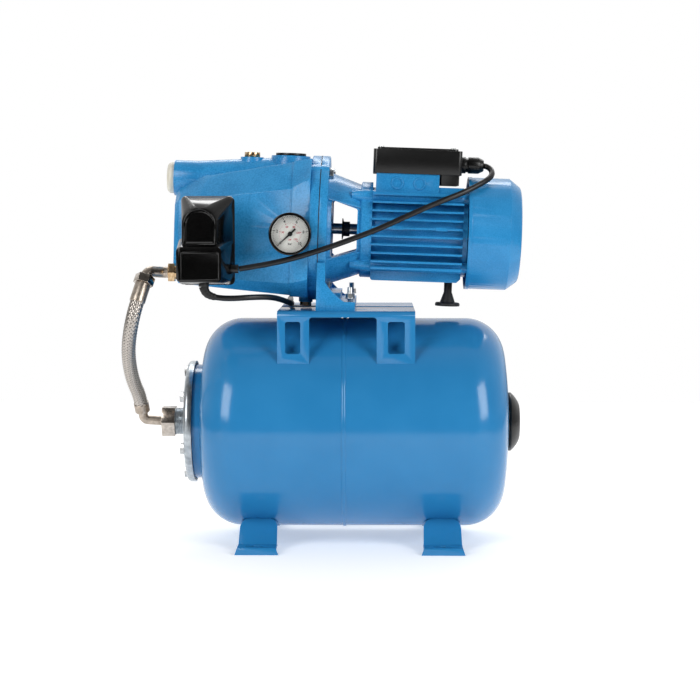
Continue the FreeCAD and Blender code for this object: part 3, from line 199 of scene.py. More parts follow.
# %% [markdown]
# ## Metals
# Metals have no colour of their own beyond the tint of their reflection, so the eye tells
# them apart by tint and by how sharp the reflection is. Zinc plate is milky, with a slow
# spangle; nickel plate is nearly a mirror, and satin nickel is duller; turned brass is warm
# and a little uneven; drawn wire is a hard grey. All keep the default IOR.

# %% Plated and turned metals
def metal(name, tint, dark, roughness, streak_mm=3.0, depth_mm=0.01):
    """A metal whose tint drifts over streak_mm, under a grain too fine to see singly."""
    made, tree, shader = finish_named(name)
    streaks = grain(tree, streak_mm, 3)
    tree.links.new(ramp(tree, streaks, [(0.3, dark), (0.7, tint)]), shader.inputs["Base Color"])
    bump(tree, shader, grain(tree, 0.6, 2), depth_mm, 0.4)
    set_shader(shader, Metallic=1.0, Roughness=roughness)
    return made


TANK_ZINC = metal("bright zinc plate", "#c3c9cd", "#969da3", 0.3, 8)
BOLT_ZINC = metal("zinc plated bolts", "#cfd0cf", "#aeb0b0", 0.3, 3)
NICKEL = metal("bright nickel on brass", "#cdc4ba", "#a69c92", 0.16, 5)
SATIN_NICKEL = metal("satin nickel on brass", "#c2b6a9", "#9c9084", 0.36, 4)
BRASS = metal("turned brass", "#dcc19a", "#b08d66", 0.22, 4)
STEEL = metal("turned steel", "#b9bbbd", "#96999c", 0.28, 3)
STAINLESS = metal("drawn stainless wire", "#d2cbc4", "#a29a92", 0.3, 1)
LAMINATION = metal("stacked electrical sheet", "#6d7074", "#54575b", 0.5, 1)
COPPER = metal("enamelled copper wire", "#b46a3a", "#8d4b24", 0.35, 1)
print("metals:", TANK_ZINC.name, "to", COPPER.name)


# %% [markdown]
# ## Plastics and rubber
# Moulded black parts are never pure black: the mould's texture scatters light and greys
# them, and polished ABS least. Rubber is duller still. Polyethylene caps are a warm, milky
# white. All have an IOR near 1.5, so they differ in colour, grain and roughness.

# %% Moulded plastics
def plastic(name, colour, light, roughness, grain_mm=0.8, depth_mm=0.03):
    """A moulded plastic or rubber with the fine texture of its mould."""
    made, tree, shader = finish_named(name)
    cloud = grain(tree, 12, 3)
    tree.links.new(ramp(tree, cloud, [(0.35, colour), (0.7, light)]), shader.inputs["Base Color"])
    bump(tree, shader, grain(tree, grain_mm, 2), depth_mm, 0.5)
    set_shader(shader, Roughness=roughness, IOR=1.5)
    return made


BLACK_PP = plastic("black moulded polypropylene", "#050505", "#0b0b0b", 0.33)
BLACK_ABS = plastic("black polished ABS", "#020202", "#050505", 0.16, 2.0, 0.01)
WHITE_PE = plastic("white polyethylene", "#d9d4c4", "#e4e0d3", 0.45)
RUBBER = plastic("moulded rubber", "#0d0d0d", "#151414", 0.55, 1.0, 0.04)
LEAD_RUBBER = plastic("extruded rubber sheath", "#08080a", "#101011", 0.36, 1.5, 0.03)
NORYL = plastic("glass filled plastic", "#1b1b1e", "#26262a", 0.45)
CERAMIC = plastic("carbon and ceramic", "#6e6c68", "#84817b", 0.35)
DIAL_CARD = plastic("printed dial card", "#e4e3dd", "#ebeae5", 0.5, 1.0, 0.0)
NEEDLE_PAINT = plastic("black needle paint", "#111111", "#161616", 0.35, 1.0, 0.0)
print("plastics:", BLACK_PP.name, "to", NEEDLE_PAINT.name)

# %% [markdown]
# ### The gauge's window
# The window is clear polished acrylic. What the eye gets from it is its gloss, so it is
# mostly transparent, and little more than its reflection is left of it over the dial.

# %% Clear acrylic
window, _, window_shader = finish_named("clear window")
set_shader(window_shader, Base_Color=linear("#f4f7f7"), Roughness=0.03, IOR=1.49,
           Transmission_Weight=1.0, Alpha=0.25)
print("window:", window.name)

# %% [markdown]
# ## Finishes on the parts
# The record gives each CAD part a material slot, so one table turns slots into finishes.
# A few parts share a slot with others but are finished differently, so they are named.

# %% Each CAD part gets its finish by its slot
FINISHES = {
    "tank_paint": TANK_ENAMEL, "cast_paint": IRON_PAINT, "motor_paint": MOTOR_PAINT,
    "zinc": TANK_ZINC, "nickel": NICKEL, "braid": STAINLESS, "brass": BRASS,
    "black_plastic": BLACK_PP, "black_gloss": BLACK_ABS, "white_plastic": WHITE_PE,
    "lead_rubber": LEAD_RUBBER, "rubber": RUBBER, "dial": DIAL_CARD, "glass": window,
    "needle": NEEDLE_PAINT, "steel": STEEL, "lamination": LAMINATION, "copper": COPPER,
    "noryl": NORYL, "ceramic": CERAMIC,
}
slot_of = {part["node"]: part["material_slot"] for part in frame["record"]["subparts"]}
OWN_FINISH = {"hose_upper_elbow": SATIN_NICKEL, "hose_lower_elbow": SATIN_NICKEL,
              "foot_bolts": BOLT_ZINC, "tank_flange_bolts": BOLT_ZINC}
finish_of = {node: OWN_FINISH.get(node, FINISHES[slot]) for node, slot in slot_of.items()}
for name, part in frame["nodes"].items():
    part.data.materials.clear()
    part.data.materials.append(finish_of[name])
print("finishes on", len(finish_of), "parts")

# %% [markdown]
# ## Soft edges
# No real edge is sharp: castings leave the mould with a radius, pressings are rounded by
# the die, and moulded plastic is too. A sharp edge catches no light, so each hard piece is
# replaced by a copy whose edges are rolled: flat faces are merged first, so that the bevel
# runs along true edges and not along the triangles of the CAD mesh.

# %% Rolling a piece's edges
WELD, FLAT_ANGLE = 0.00001, math.radians(0.6)


def into_scene(name, data, *finishes):
    """Links new data as an object with its finishes."""
    thing = bpy.data.objects.new(name, data)
    bpy.context.scene.collection.objects.link(thing)
    for one in finishes:
        data.materials.append(one)
    return thing


def apply_modifiers(thing):
    """Gives the object the mesh that its modifiers make, and drops them."""
    depsgraph = bpy.context.evaluated_depsgraph_get()
    mesh = bpy.data.meshes.new_from_object(thing.evaluated_get(depsgraph))
    thing.modifiers.clear()
    thing.data = mesh


def rolled(node, width_mm, segments=2, least_angle=30):
    """A copy of a CAD node whose edges are rounded; it takes the node's place."""
    source = frame["nodes"][node]
    made = bmesh.new()
    made.from_mesh(source.data)
    bmesh.ops.remove_doubles(made, verts=made.verts, dist=WELD)
    bmesh.ops.dissolve_limit(made, angle_limit=FLAT_ANGLE, verts=made.verts,
                             edges=made.edges)
    mesh = bpy.data.meshes.new(node + "_shape")
    made.to_mesh(mesh)
    made.free()
    thing = into_scene(node + "_shape", mesh, finish_of[node])
    bevel = thing.modifiers.new("roll", "BEVEL")
    bevel.width, bevel.segments = width_mm * MM, segments
    bevel.limit_method, bevel.angle_limit = "ANGLE", math.radians(least_angle)
    bevel.use_clamp_overlap, bevel.harden_normals = True, True
    mesh.shade_smooth()
    apply_modifiers(thing)
    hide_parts(node)
    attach(thing, body_of[node])
    return thing


body_of = {}
for body, nodes in frame["record"]["behaviour"]["bodies"].items():
    body_of.update({node: body for node in nodes})
ROLLED = {"motor_bracket": 1.2, "tank_foot_left": 0.7, "tank_foot_right": 0.7,
          "bracket_rail_front": 0.6, "bracket_rail_rear": 0.6, "terminal_box": 0.9,
          "switch_cover": 1.2, "fan_cover": 0.6, "pump_casing": 1.5, "motor_housing": 0.5,
          "stay_foot": 0.6, "switch_tee": 0.4, "hose_lower_nut": 0.5, "hose_upper_nut": 0.4,
          "air_valve_cap": 0.8, "tank_flange": 0.5, "tank_flange_bolts": 0.3,
          "flange_bolts": 0.3, "foot_bolts": 0.3, "gauge_case": 0.3, "filler_plug": 0.4,
          "discharge_plug": 0.5, "suction_plug": 0.5, "cable_glands": 0.4}
for node, width in ROLLED.items():
    piece = rolled(node, width)
    print(node, len(piece.data.polygons), "faces")

# %% [markdown]
# ## Cords and the hose
# Rubber leads and a braided hose are springy, so each hangs in one smooth curve from its
# exit to its far end. A NURBS spline through a few control points gives just
# that: it never kinks, and its thickness is one number. The routes are those of the CAD
# tubes, with the mains lead's first points moved a few millimetres, so that it hangs just
# under the casing.

# %% Routes, from exit to far end, in millimetres
HOSE_BORE_END, HOSE_FOOT = Vector((-256.5, -112, 337)), Vector((-272.4, -4, 166))
HOSE_TOP_WAY = Vector((-0.25, -0.45, -0.86)).normalized()
HOSE_FOOT_WAY = Vector((-0.1, -0.35, 0.93)).normalized()
HOSE_ROUTE = [HOSE_BORE_END, HOSE_BORE_END + HOSE_TOP_WAY * 27, (-270, -124, 288),
              (-277, -102, 258), (-280, -70, 232), (-279, -42, 208),
              HOSE_FOOT + HOSE_FOOT_WAY * 22, HOSE_FOOT]
MOTOR_LEAD_ROUTE = [
    (169.9, -15, 484.7), (175, -17, 483.6), (180, -24, 478.5), (179.5, -34, 471.5),
    (171, -44, 465), (157, -53, 457.5), (139, -61.5, 449), (110, -70.5, 438),
    (74.6, -78, 422.8), (37, -85, 405.5), (-0.5, -92.5, 391.5), (-37.7, -99.5, 378.5),
    (-74, -107, 367.8), (-108, -111, 360.5), (-137.3, -112, 356)]
MAINS_WAY = [
    (-181, -112, 334), (-180, -112, 326), (-168, -111, 320.5), (-148, -109, 319),
    (-122, -102, 320.5), (-98, -85, 320), (-82, -60, 313.5), (-76, -28, 308), (-78, 6, 308),
    (-81, 42, 307.5), (-82, 76, 310), (-85, 109, 308), (-89, 131, 288), (-92, 146, 256),
    (-94, 152, 216), (-94, 151, 172), (-92, 150, 128), (-88, 151, 88), (-79, 157, 52),
    (-64, 167, 24), (-42, 177, 7)]
LEAD_DIAMETER, HOSE_DIAMETER = 7.2, 18.0
print("control points:", len(HOSE_ROUTE), len(MOTOR_LEAD_ROUTE), len(MAINS_WAY))

# %% [markdown]
# The lead's spare length lies behind the tank in a small tied coil: one turn on the floor,
# one inside it, and the third in the groove between them, before it climbs to its plug.
# A loop works out the turns, fourteen control points to each, from the coil's radius,
# height and angle at a few stations.

# %% The coil's turns
COIL_CENTRE = Vector((-10, 138, 0))
COIL_STATIONS = [  # angle in degrees, radius, height
    (108, 46.6, 3.9), (60, 43.6, 3.7), (-150, 43.2, 3.7), (-215, 39.5, 3.7),
    (-250, 35.4, 3.7), (-500, 35.2, 3.7), (-560, 37.4, 7.4), (-600, 39.4, 10.1),
    (-860, 39.4, 10.1), (-930, 39.8, 10.8), (-965, 42.5, 13.6), (-1000, 47.5, 15.2)]
STEP = 360 / 14


def coil_turns(stations):
    """Control points that step round the coil, with radius and height eased between."""
    points = []
    angle, last = stations[0][0], stations[-1][0]
    while angle > last:
        for (a, r, z), (b, r2, z2) in zip(stations, stations[1:]):
            if b <= angle <= a:
                part = (a - angle) / (a - b)
                turn = math.radians(angle)
                radius = (r + (r2 - r) * part) / math.cos(math.radians(STEP / 2)) ** 0.5
                points.append(COIL_CENTRE + Vector((radius * math.cos(turn),
                              radius * math.sin(turn), z + (z2 - z) * part)))
                break
        angle -= STEP
    return points


PLUG_TAIL = (26, 172.7, 15.2)
MAINS_ROUTE = MAINS_WAY + coil_turns(COIL_STATIONS) + [(6, 181, 15.2), PLUG_TAIL]
print("mains lead control points:", len(MAINS_ROUTE))


# %% Laying a cord
def laid_cord(name, route, diameter, finish):
    """One smooth spline through the route, as thick as the cord."""
    curve = bpy.data.curves.new(name, "CURVE")
    curve.dimensions, curve.resolution_u = "3D", 6
    spline = curve.splines.new("NURBS")
    spline.points.add(len(route) - 1)
    for point, place in zip(spline.points, route):
        point.co = (*(Vector(place) * MM), 1)
    spline.order_u, spline.use_endpoint_u = 3, True
    curve.bevel_depth, curve.bevel_resolution = diameter / 2 * MM, 4
    curve.use_fill_caps = True
    return into_scene(name, curve, finish)


def centreline(cord, resolution=6):
    """Points along a cord's own spline, read from it with no thickness."""
    bare = cord.data.copy()
    bare.bevel_depth, bare.resolution_u = 0, resolution
    holder = bpy.data.objects.new("bare", bare)
    line = bpy.data.meshes.new_from_object(holder)
    points = [vertex.co.copy() for vertex in line.vertices]
    bpy.data.objects.remove(holder)
    return points


def even_line(points, step_mm):
    """The same line with points at even steps."""
    spots, needed = [points[0]], step_mm * MM
    left = needed
    for a, b in zip(points, points[1:]):
        run = (b - a).length
        while run >= left and run > 0:
            a = a + (b - a) * (left / run)
            spots.append(a)
            run -= left
            left = needed
        left -= run
    return spots


def frames_along(points):
    """A direction and two sides at each point, turned as little as can be."""
    frames, side = [], None
    for i, point in enumerate(points):
        way = (points[min(i + 1, len(points) - 1)] - points[max(i - 1, 0)]).normalized()
        if side is None:
            side = way.orthogonal()
        side = (side - way * side.dot(way)).normalized()
        frames.append((point, way, side, way.cross(side)))
    return frames


def skin(made, rings):
    """Fills the space between each ring of vertices and the next with quads."""
    for low, high in zip(rings, rings[1:]):
        for k in range(len(low)):
            after = (k + 1) % len(low)
            made.faces.new((low[k], low[after], high[after], high[k]))


def sleeve_along(name, points, radii, finish, sides=24):
    """A closed tube along points, with a radius in millimetres at each of them."""
    made = bmesh.new()
    rings = []
    for (point, way, side, up), radius in zip(frames_along(points), radii):
        rings.append([made.verts.new(point + (side * math.cos(a) + up * math.sin(a))
                                     * radius * MM)
                      for a in (2 * math.pi * k / sides for k in range(sides))])
    skin(made, rings)
    made.faces.new(reversed(rings[0]))
    made.faces.new(rings[-1])
    mesh = bpy.data.meshes.new(name)
    made.to_mesh(mesh)
    made.free()
    mesh.shade_smooth()
    return into_scene(name, mesh, finish)


motor_lead = laid_cord("motor_lead_sheath", MOTOR_LEAD_ROUTE, LEAD_DIAMETER, LEAD_RUBBER)
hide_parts("motor_lead")
mains_lead = laid_cord("mains_lead_sheath", MAINS_ROUTE, LEAD_DIAMETER, LEAD_RUBBER)
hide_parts("mains_lead", "mains_lead_coil")
print("leads:", motor_lead.name, "and", mains_lead.name)

# %% [markdown]
# ### Boots and the coil's tie
# A lead breaks where it bends at a hard edge, so a rubber boot grips it there and tapers
# away. The boot follows the lead's own line. A flat hook-and-loop tie holds the turns.

# %% Boots and tie
BOOT_GROOVES, BOOT_TIP = 20, 3.75
lead_line = even_line(centreline(mains_lead), 1.0)
motor_line = even_line(centreline(motor_lead), 1.0)
boot_radii = [6.2] * 2 + [5.9 - 0.09 * k - 0.35 * (k % 4 == 3) for k in range(BOOT_GROOVES)]
boot_radii.append(BOOT_TIP)
boot = sleeve_along("switch_boot", lead_line[:len(boot_radii)], boot_radii, RUBBER)
print("boot:", len(boot_radii) - 1, "mm long")

# %% The tie round the coil
TIE_SIDES, TIE_HALF_WIDTH, TIE_THICKNESS = 28, 3.0, 0.9
TIE_REACH, TIE_RISE = 8.2, 6.0  # half the tie's inner width and height
tie_angle = math.radians(-140)
outward = Vector((math.cos(tie_angle), math.sin(tie_angle), 0))
along = Vector((-outward.y, outward.x, 0))
tie_middle = COIL_CENTRE * MM + outward * 0.0392 + Vector((0, 0, 0.0069))
made = bmesh.new()
loops = []
for shift, grow in ((-TIE_HALF_WIDTH, 0.0), (-TIE_HALF_WIDTH, TIE_THICKNESS),
                    (TIE_HALF_WIDTH, TIE_THICKNESS), (TIE_HALF_WIDTH, 0.0)):
    loops.append([made.verts.new(tie_middle + along * shift * MM
                                 + outward * math.cos(a) * (TIE_REACH + grow) * MM
                                 + Vector((0, 0, math.sin(a) * (TIE_RISE + grow) * MM)))
                  for a in (2 * math.pi * k / TIE_SIDES for k in range(TIE_SIDES))])
skin(made, loops + loops[:1])
bmesh.ops.recalc_face_normals(made, faces=made.faces)
tie_mesh = bpy.data.meshes.new("coil_tie")
made.to_mesh(tie_mesh)
made.free()
tie = into_scene("coil_tie", tie_mesh, RUBBER)
print("tie:", len(tie_mesh.polygons), "faces")

# %% The leads ride on the set
for piece in (motor_lead, mains_lead, boot, tie):
    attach(piece, "set")
print("mains lead:", round(len(lead_line) - 1), "mm")

# %% [markdown]
# ### The braided hose
# A rubber hose inside a sleeve of stainless wires that run round it both ways, over one
# and under one. The real wires are a third of a millimetre and go in flat bands of four or
# five; here each band is one ribbon, twice as wide as a real one so that the weave shows.
# Each ribbon's height follows a cosine, so the two sets pass over each other in turn.

# %% Weaving the sleeve
hose = laid_cord("hose_liner", HOSE_ROUTE, HOSE_DIAMETER - 1.2, RUBBER)
WEAVE_STEP, DIAGONAL = 0.45, 0.707  # the ribbons' step along the hose; 45 degrees
BANDS, WEAVE_R, WEAVE_LIFT, BAND_HALF, EDGE_DROP = 11, 8.6, 0.36, 1.35, 0.42
hose_line = even_line(centreline(hose, 12), WEAVE_STEP)
points, faces = [], []
frames = frames_along(hose_line)
twist = 1 / WEAVE_R  # radians a millimetre, so that the bands run at 45 degrees
for way_round in (1, -1):
    for band in range(BANDS):
        first = len(points)
        for i, (spot, way, side, up) in enumerate(frames):
            travelled = i * WEAVE_STEP
            turn = way_round * twist * travelled + 2 * math.pi * band / BANDS
            lift = WEAVE_LIFT * way_round * math.cos(BANDS * twist * travelled)
            for across, drop in ((-1, EDGE_DROP), (0, 0), (1, EDGE_DROP)):
                angle = turn + across * BAND_HALF / WEAVE_R * DIAGONAL
                along_way = -way_round * across * BAND_HALF * DIAGONAL * MM
                out = side * math.cos(angle) + up * math.sin(angle)
                points.append(spot + way * along_way + out * (WEAVE_R + lift - drop) * MM)
        for i in range(len(frames) - 1):
            for k in (0, 1):
                a = first + i * 3 + k
                faces.append((a, a + 1, a + 4, a + 3))
weave_mesh = bpy.data.meshes.new("hose_weave")
weave_mesh.from_pydata(points, [], faces)
weave_mesh.shade_smooth()
weave = into_scene("hose_weave", weave_mesh, STAINLESS)
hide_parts("braided_hose")
print("hose:", round(len(hose_line) * WEAVE_STEP), "mm,", len(faces), "faces of weave")

# %% [markdown]
# At both ends a thin metal sleeve is crimped over the braid. It is smooth, a little wider
# than the hose, and its last millimetres roll in.

# %% Crimped sleeves
CRIMP_RADIUS, ROLL_IN, ROLL_STEPS = 9.7, 0.9, 2.5
TOP_STEPS, FOOT_STEPS = 56, 32


def crimp(name, line):
    """A sleeve along the line whose ends roll in."""
    count = len(line)
    radii = [CRIMP_RADIUS - ROLL_IN * max(0.0, 1 - min(k, count - 1 - k) / ROLL_STEPS) ** 2
             for k in range(count)]
    return sleeve_along(name, line, radii, SATIN_NICKEL, 40)


top_sleeve = crimp("hose_sleeve_top", hose_line[:TOP_STEPS])
foot_sleeve = crimp("hose_sleeve_foot", hose_line[-FOOT_STEPS:])
for piece in (hose, weave, top_sleeve, foot_sleeve):
    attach(piece, "set")
print("sleeves:", top_sleeve.name, "and", foot_sleeve.name)

# %% [markdown]
# ## Small detail
# What makes a machine read as real is its smallest work: the print on the dial, a thread,
# a gasket's edge, screw heads. Each is its own thin mesh, laid in the place that the CAD
# box of its part gives, and turned with the pump, which leans back two degrees.

# %% The pump's lean and a helper for small pieces
LEAN = math.radians(2)
RIGHT = Vector((math.cos(LEAN), 0, -math.sin(LEAN)))
UP = Vector((math.sin(LEAN), 0, math.cos(LEAN)))
FRONT = Vector((0, -1, 0))
PUMP_ORIGIN = Vector((-40, 0, 405)) * MM


def piece_from(name, made, finish, body="set"):
    """Turns a bmesh into a piece that rides on a body."""
    bmesh.ops.recalc_face_normals(made, faces=made.faces)
    mesh = bpy.data.meshes.new(name)
    made.to_mesh(mesh)
    made.free()
    thing = into_scene(name, mesh, finish)
    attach(thing, body)
    return thing


def on_face(middle, across, up, out=0.0):
    """A point on the pump's front, in millimetres from a middle."""
    return middle + (RIGHT * across + UP * up + FRONT * out) * MM


# %% [markdown]
# ### The dial
# Two scales are printed on a white card: ten bar outside in black, and an inner one in red
# pounds per square inch. Both run three quarters of the way round. The numbers are text
# objects turned to meshes, and each mark is one thin quad.

# %% Printing the dial
BLACK_INK = plastic("black printing ink", "#0b0b0c", "#121213", 0.5, 1.0, 0.0)
RED_INK = plastic("red printing ink", "#b3303c", "#bd3a45", 0.5, 1.0, 0.0)
dial_low, dial_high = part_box("gauge_dial")
dial_middle = (Vector(dial_low) + Vector(dial_high)) / 2
dial_middle.y = dial_low[1] - 0.05 * MM
SWEEP_START, SWEEP = 225, 270


def mark(made, angle, inner, outer, width):
    """One radial mark of the scale."""
    way = Vector((math.cos(angle), math.sin(angle)))
    side = Vector((-way.y, way.x)) * width / 2
    corners = [way * inner - side, way * outer - side, way * outer + side, way * inner + side]
    made.faces.new([made.verts.new(on_face(dial_middle, c.x, c.y)) for c in corners])


def lettered(made, text, across, up, size):
    """Adds a text's mesh, centred, to the print."""
    letters = bpy.data.curves.new("letters", "FONT")
    letters.body, letters.size = text, size * MM
    letters.align_x, letters.align_y = "CENTER", "CENTER"
    letters.resolution_u, letters.offset = 2, 0.1 * MM
    holder = bpy.data.objects.new("letters", letters)
    flat = bpy.data.meshes.new_from_object(holder)
    place = Matrix((RIGHT, UP, FRONT)).transposed().to_4x4()
    place.translation = on_face(dial_middle, across, up)
    flat.transform(place)
    made.from_mesh(flat)
    bpy.data.objects.remove(holder)


LONG_MARK, SHORT_MARK, NUMBERS = 0.8, 0.4, 5


def scale(made, last, steps, tick_out, tick_in, number_at, size):
    """A scale's marks and numbers; a mark with a number is longer than the others."""
    per_number = steps // NUMBERS
    for k in range(steps + 1):
        angle = math.radians(SWEEP_START - SWEEP * k / steps)
        is_long = k % per_number == 0
        mark(made, angle, tick_in if is_long else (tick_in + tick_out) / 2, tick_out,
             LONG_MARK if is_long else SHORT_MARK)
        if is_long:
            lettered(made, str(last * k // steps), number_at * math.cos(angle),
                     number_at * math.sin(angle), size)


black_print = bmesh.new()
scale(black_print, 10, 50, 22.2, 19.2, 16.6, 5.0)
lettered(black_print, "bar", 0, -12.5, 3.6)
dial_black = piece_from("dial_print_black", black_print, BLACK_INK)
red_print = bmesh.new()
scale(red_print, 150, 30, 13.8, 12.0, 9.4, 3.4)
lettered(red_print, "psi", 0, -7.0, 3.0)
dial_red = piece_from("dial_print_red", red_print, RED_INK)
print("dial:", len(dial_black.data.polygons) + len(dial_red.data.polygons), "printed faces")

# %% [markdown]
# ### The tank nipple's thread
# The flange's neck carries a pipe thread, eleven to the inch. It is one grid wrapped round
# the neck whose radius rises and falls along it, and whose start shifts with the angle, so
# that the crests make one helix.

# %% Cutting the thread
PITCH, THREAD_LOW, THREAD_DEPTH, THREAD_SIDES = 25.4 / 11, 16.65, 1.0, 64
THREAD_LENGTH, THREAD_STEP = 16.0, 0.3
thread_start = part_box("hose_lower_nut")[1][0] / MM - 1.0
flange_low, flange_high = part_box("tank_flange")
thread_middle = (Vector(flange_low) + Vector(flange_high)) / 2
made = bmesh.new()
rings = []
for step in range(int(THREAD_LENGTH / THREAD_STEP)):
    ring = []
    for k in range(THREAD_SIDES):
        angle = 2 * math.pi * k / THREAD_SIDES
        phase = (step * THREAD_STEP / PITCH + k / THREAD_SIDES) % 1.0
        radius = THREAD_LOW + THREAD_DEPTH * (1 - abs(2 * phase - 1))
        ring.append(made.verts.new(Vector((
            (thread_start + step * THREAD_STEP) * MM,
            thread_middle.y + radius * MM * math.cos(angle),
            thread_middle.z + radius * MM * math.sin(angle)))))
    rings.append(ring)
skin(made, rings)
thread = piece_from("nipple_thread", made, TANK_ZINC)
print("thread:", len(thread.data.polygons), "faces")


# %% [markdown]
# ### Gasket and seams
# Where the casing meets the bracket a gasket's dark edge shows, all the way round. On the
# switch, a raised rim runs round the arched panel and another round the label's field.

# %% The gasket's edge
def tube_piece(name, spots, radius_mm, finish, closed=False):
    """A thin round rim through the spots; it rides on the fixed body."""
    curve = bpy.data.curves.new(name, "CURVE")
    curve.dimensions = "3D"
    line = curve.splines.new("POLY")
    line.points.add(len(spots) - 1)
    for point, spot in zip(line.points, spots):
        point.co = (*spot, 1)
    line.use_cyclic_u = closed
    curve.bevel_depth, curve.bevel_resolution = radius_mm * MM, 3
    curve.use_fill_caps = True
    thing = into_scene(name, curve, finish)
    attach(thing, "set")
    return thing


FLANGE_RADIUS, GASKET_SIDES, GASKET_TUBE = 92.85, 160, 0.55
gasket_spots = []
for k in range(GASKET_SIDES):
    angle = 2 * math.pi * k / GASKET_SIDES
    gasket_spots.append(on_face(PUMP_ORIGIN, 0, FLANGE_RADIUS * math.sin(angle),
                                FLANGE_RADIUS * math.cos(angle)))
gasket = tube_piece("joint_gasket", gasket_spots, GASKET_TUBE, RUBBER, closed=True)
print("gasket:", len(gasket_spots), "points round the joint")

# %% The switch's arched panel and its rims
cover_low = Vector(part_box("switch_cover")[0])
ARCH_STEPS = 24
ARCH_LEFT, ARCH_RIGHT, ARCH_FOOT, ARCH_SPRING = 11.0, 48.0, 50.5, 74.5


def arch_outline(inset):
    """Points of the arched field, counted from the cover's low corner."""
    left, right, foot = ARCH_LEFT + inset, ARCH_RIGHT - inset, ARCH_FOOT + inset
    middle, radius = (left + right) / 2, (right - left) / 2
    spots = [(left, foot), (right, foot)]
    for k in range(ARCH_STEPS + 1):
        angle = math.pi * k / ARCH_STEPS
        spots.append((middle + radius * math.cos(angle), ARCH_SPRING + radius * math.sin(angle)))
    return spots


def on_cover(spot, depth):
    """A point over the switch cover, depth millimetres behind its foremost face."""
    return Vector((cover_low.x + spot[0] * MM, cover_low.y + depth * MM,
                   cover_low.z + spot[1] * MM))


arch_rim = tube_piece("switch_arch_rim", [on_cover(s, 9.2) for s in arch_outline(-0.4)], 1.1,
                      BLACK_ABS, closed=True)
made = bmesh.new()
outer = [made.verts.new(on_cover(s, 10.6)) for s in arch_outline(0.7)]
inner = [made.verts.new(on_cover(s, 10.2)) for s in arch_outline(3.0)]
skin(made, [outer, inner])
made.faces.new(inner)
arch_panel = piece_from("switch_arch_panel", made, BLACK_ABS)
LABEL = [(8.0, 7.5), (54.0, 7.5), (54.0, 40.5), (8.0, 40.5)]
label_rim = tube_piece("switch_label_rim", [on_cover(s, -0.1) for s in LABEL], 0.7,
                       BLACK_ABS, closed=True)
print("switch:", arch_rim.name, arch_panel.name, label_rim.name)

# %% [markdown]
# ### The terminal box's screws
# Four pan head screws hold the lid. A head is a flat dome, so it is turned from a short
# profile. The lid is crowned, so a ray sent down on it finds where each head sits.

# %% Screws on the lid
box_low, box_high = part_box("terminal_box")
lid_mesh = frame["nodes"]["terminal_box"].data
lid_surface = BVHTree.FromPolygons([v.co for v in lid_mesh.vertices],
                                   [p.vertices for p in lid_mesh.polygons])
SCREW_PROFILE = [(1.6, 1.8), (2.9, 1.3), (3.5, 0.5), (3.6, 0.0)]  # radius and height
SCREWS_ACROSS, SCREWS_DEEP, SCREW_SIDES, CLEAR_ABOVE = (11, 102), (-38, 38), 24, 5
made = bmesh.new()
for across in SCREWS_ACROSS:
    for depth in SCREWS_DEEP:
        corner = Vector((box_low[0], depth * MM, box_high[2]))
        over = corner + (RIGHT * across + UP * CLEAR_ABOVE) * MM
        middle = lid_surface.ray_cast(over, -UP)[0]
        rings = []
        for radius, height in SCREW_PROFILE:
            rings.append([made.verts.new(middle + (RIGHT * radius * math.cos(a)
                          - FRONT * radius * math.sin(a) + UP * height) * MM)
                          for a in (2 * math.pi * k / SCREW_SIDES
                                    for k in range(SCREW_SIDES))])
        made.faces.new(rings[0])
        skin(made, rings)
lid_screws = piece_from("lid_screws", made, BOLT_ZINC)
print("lid screws:", len(lid_screws.data.polygons), "faces")

# %% [markdown]
# ### Knock-out rings
# Two round knock-outs are cast into the motor's box, where a second gland could be fitted.
# Each is a raised ring, so a closed tube of a millimetre's thickness draws it.

# %% The two rings on the motor's box
RING_RADIUS, RING_TUBE, RING_STEPS = 7.4, 0.9, 48
RING_ACROSS, RING_HEIGHT, RING_FORWARD = (97.0, 125.4), 61, 48.2
for number, across in enumerate(RING_ACROSS):
    ring_spots = []
    for k in range(RING_STEPS):
        angle = 2 * math.pi * k / RING_STEPS
        ring_spots.append(on_face(PUMP_ORIGIN, across + RING_RADIUS * math.cos(angle),
                                  RING_HEIGHT + RING_RADIUS * math.sin(angle), RING_FORWARD))
    tube_piece("knock_out_ring_" + str(number + 1), ring_spots, RING_TUBE, MOTOR_PAINT,
               closed=True)
print("knock-out rings:", len(RING_ACROSS))

# %% [markdown]
# ## Floor and light
# A white floor inside a white light tent. The tent is bright behind the set and dim in
# front, which keeps the blue deep: a glossy paint facing a white wall would look washed
# out. Soft panels at both front corners and one overhead do the lighting.

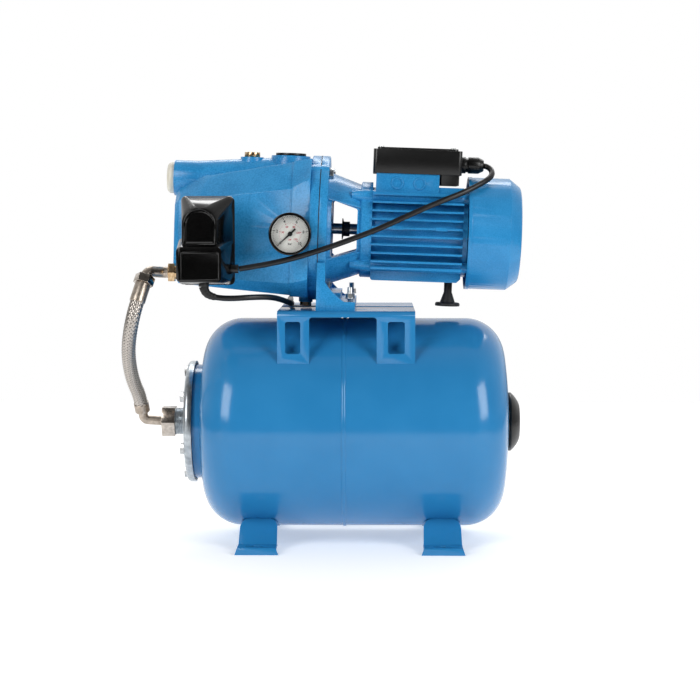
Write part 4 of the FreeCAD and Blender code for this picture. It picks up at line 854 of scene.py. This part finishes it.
# %% The floor
FLOOR_SIZE = 3.2
half = FLOOR_SIZE / 2
mesh = bpy.data.meshes.new("floor")
mesh.from_pydata([(-half, -half, 0), (half, -half, 0), (half, half, 0), (-half, half, 0)], [],
                 [(0, 1, 2, 3)])
floor = bpy.data.objects.new("floor", mesh)
bpy.context.scene.collection.objects.link(floor)
floor_paint, _, floor_shader = finish_named("pale floor")
set_shader(floor_shader, Base_Color=linear("#f4f4f4"), Roughness=0.8, Specular_IOR_Level=0.1,
           Emission_Color=linear("#ffffff"), Emission_Strength=0.36)
mesh.materials.append(floor_paint)
print("floor:", FLOOR_SIZE, "m square")


# %% The tent and its lamps
def panel(name, at, aim, width, height, power):
    """A soft rectangular lamp, aimed at a point."""
    lamp = bpy.data.objects.new(name, bpy.data.lights.new(name, "AREA"))
    lamp.data.shape, lamp.data.size, lamp.data.size_y = "RECTANGLE", width, height
    lamp.data.energy = power
    lamp.location = at
    lamp.rotation_euler = (Vector(aim) - Vector(at)).to_track_quat("-Z", "Y").to_euler()
    bpy.context.scene.collection.objects.link(lamp)


world = bpy.data.worlds.new("tent")
world.use_nodes = True
tent = world.node_tree
backdrop = tent.nodes["Background"]
backdrop.inputs["Color"].default_value = linear("#ffffff")
direction = add(tent, "SeparateXYZ", {}, {0: add(tent, "TexCoord").outputs["Generated"]})
from_front = add(tent, "MapRange", {1: -0.5, 2: 0.8, 3: 0.08, 4: 0.95},
                 {0: direction.outputs["Y"]})
above = add(tent, "MapRange", {1: -0.1, 2: 0.1, 3: 0.1, 4: 1.0}, {0: direction.outputs["Z"]})
tent_light = add(tent, "Math", {"operation": "MULTIPLY"},
                 {0: from_front.outputs[0], 1: above.outputs[0]})
seen = add(tent, "LightPath").outputs["Is Camera Ray"]
strength = add(tent, "Math", {"operation": "MAXIMUM"}, {0: tent_light.outputs[0], 1: seen})
tent.links.new(strength.outputs[0], backdrop.inputs["Strength"])
bpy.context.scene.world = world
bpy.context.scene.view_settings.view_transform = "Standard"
TANK_MIDDLE = (0.0, 0.0, 0.25)
panel("left_front", (-1.5, -1.8, 1.2), TANK_MIDDLE, 1.0, 1.5, 30)
panel("right_front", (1.7, -1.6, 1.2), TANK_MIDDLE, 1.0, 1.5, 32)
panel("back_strip", (0.1, 1.3, 1.7), TANK_MIDDLE, 2.2, 0.45, 16)
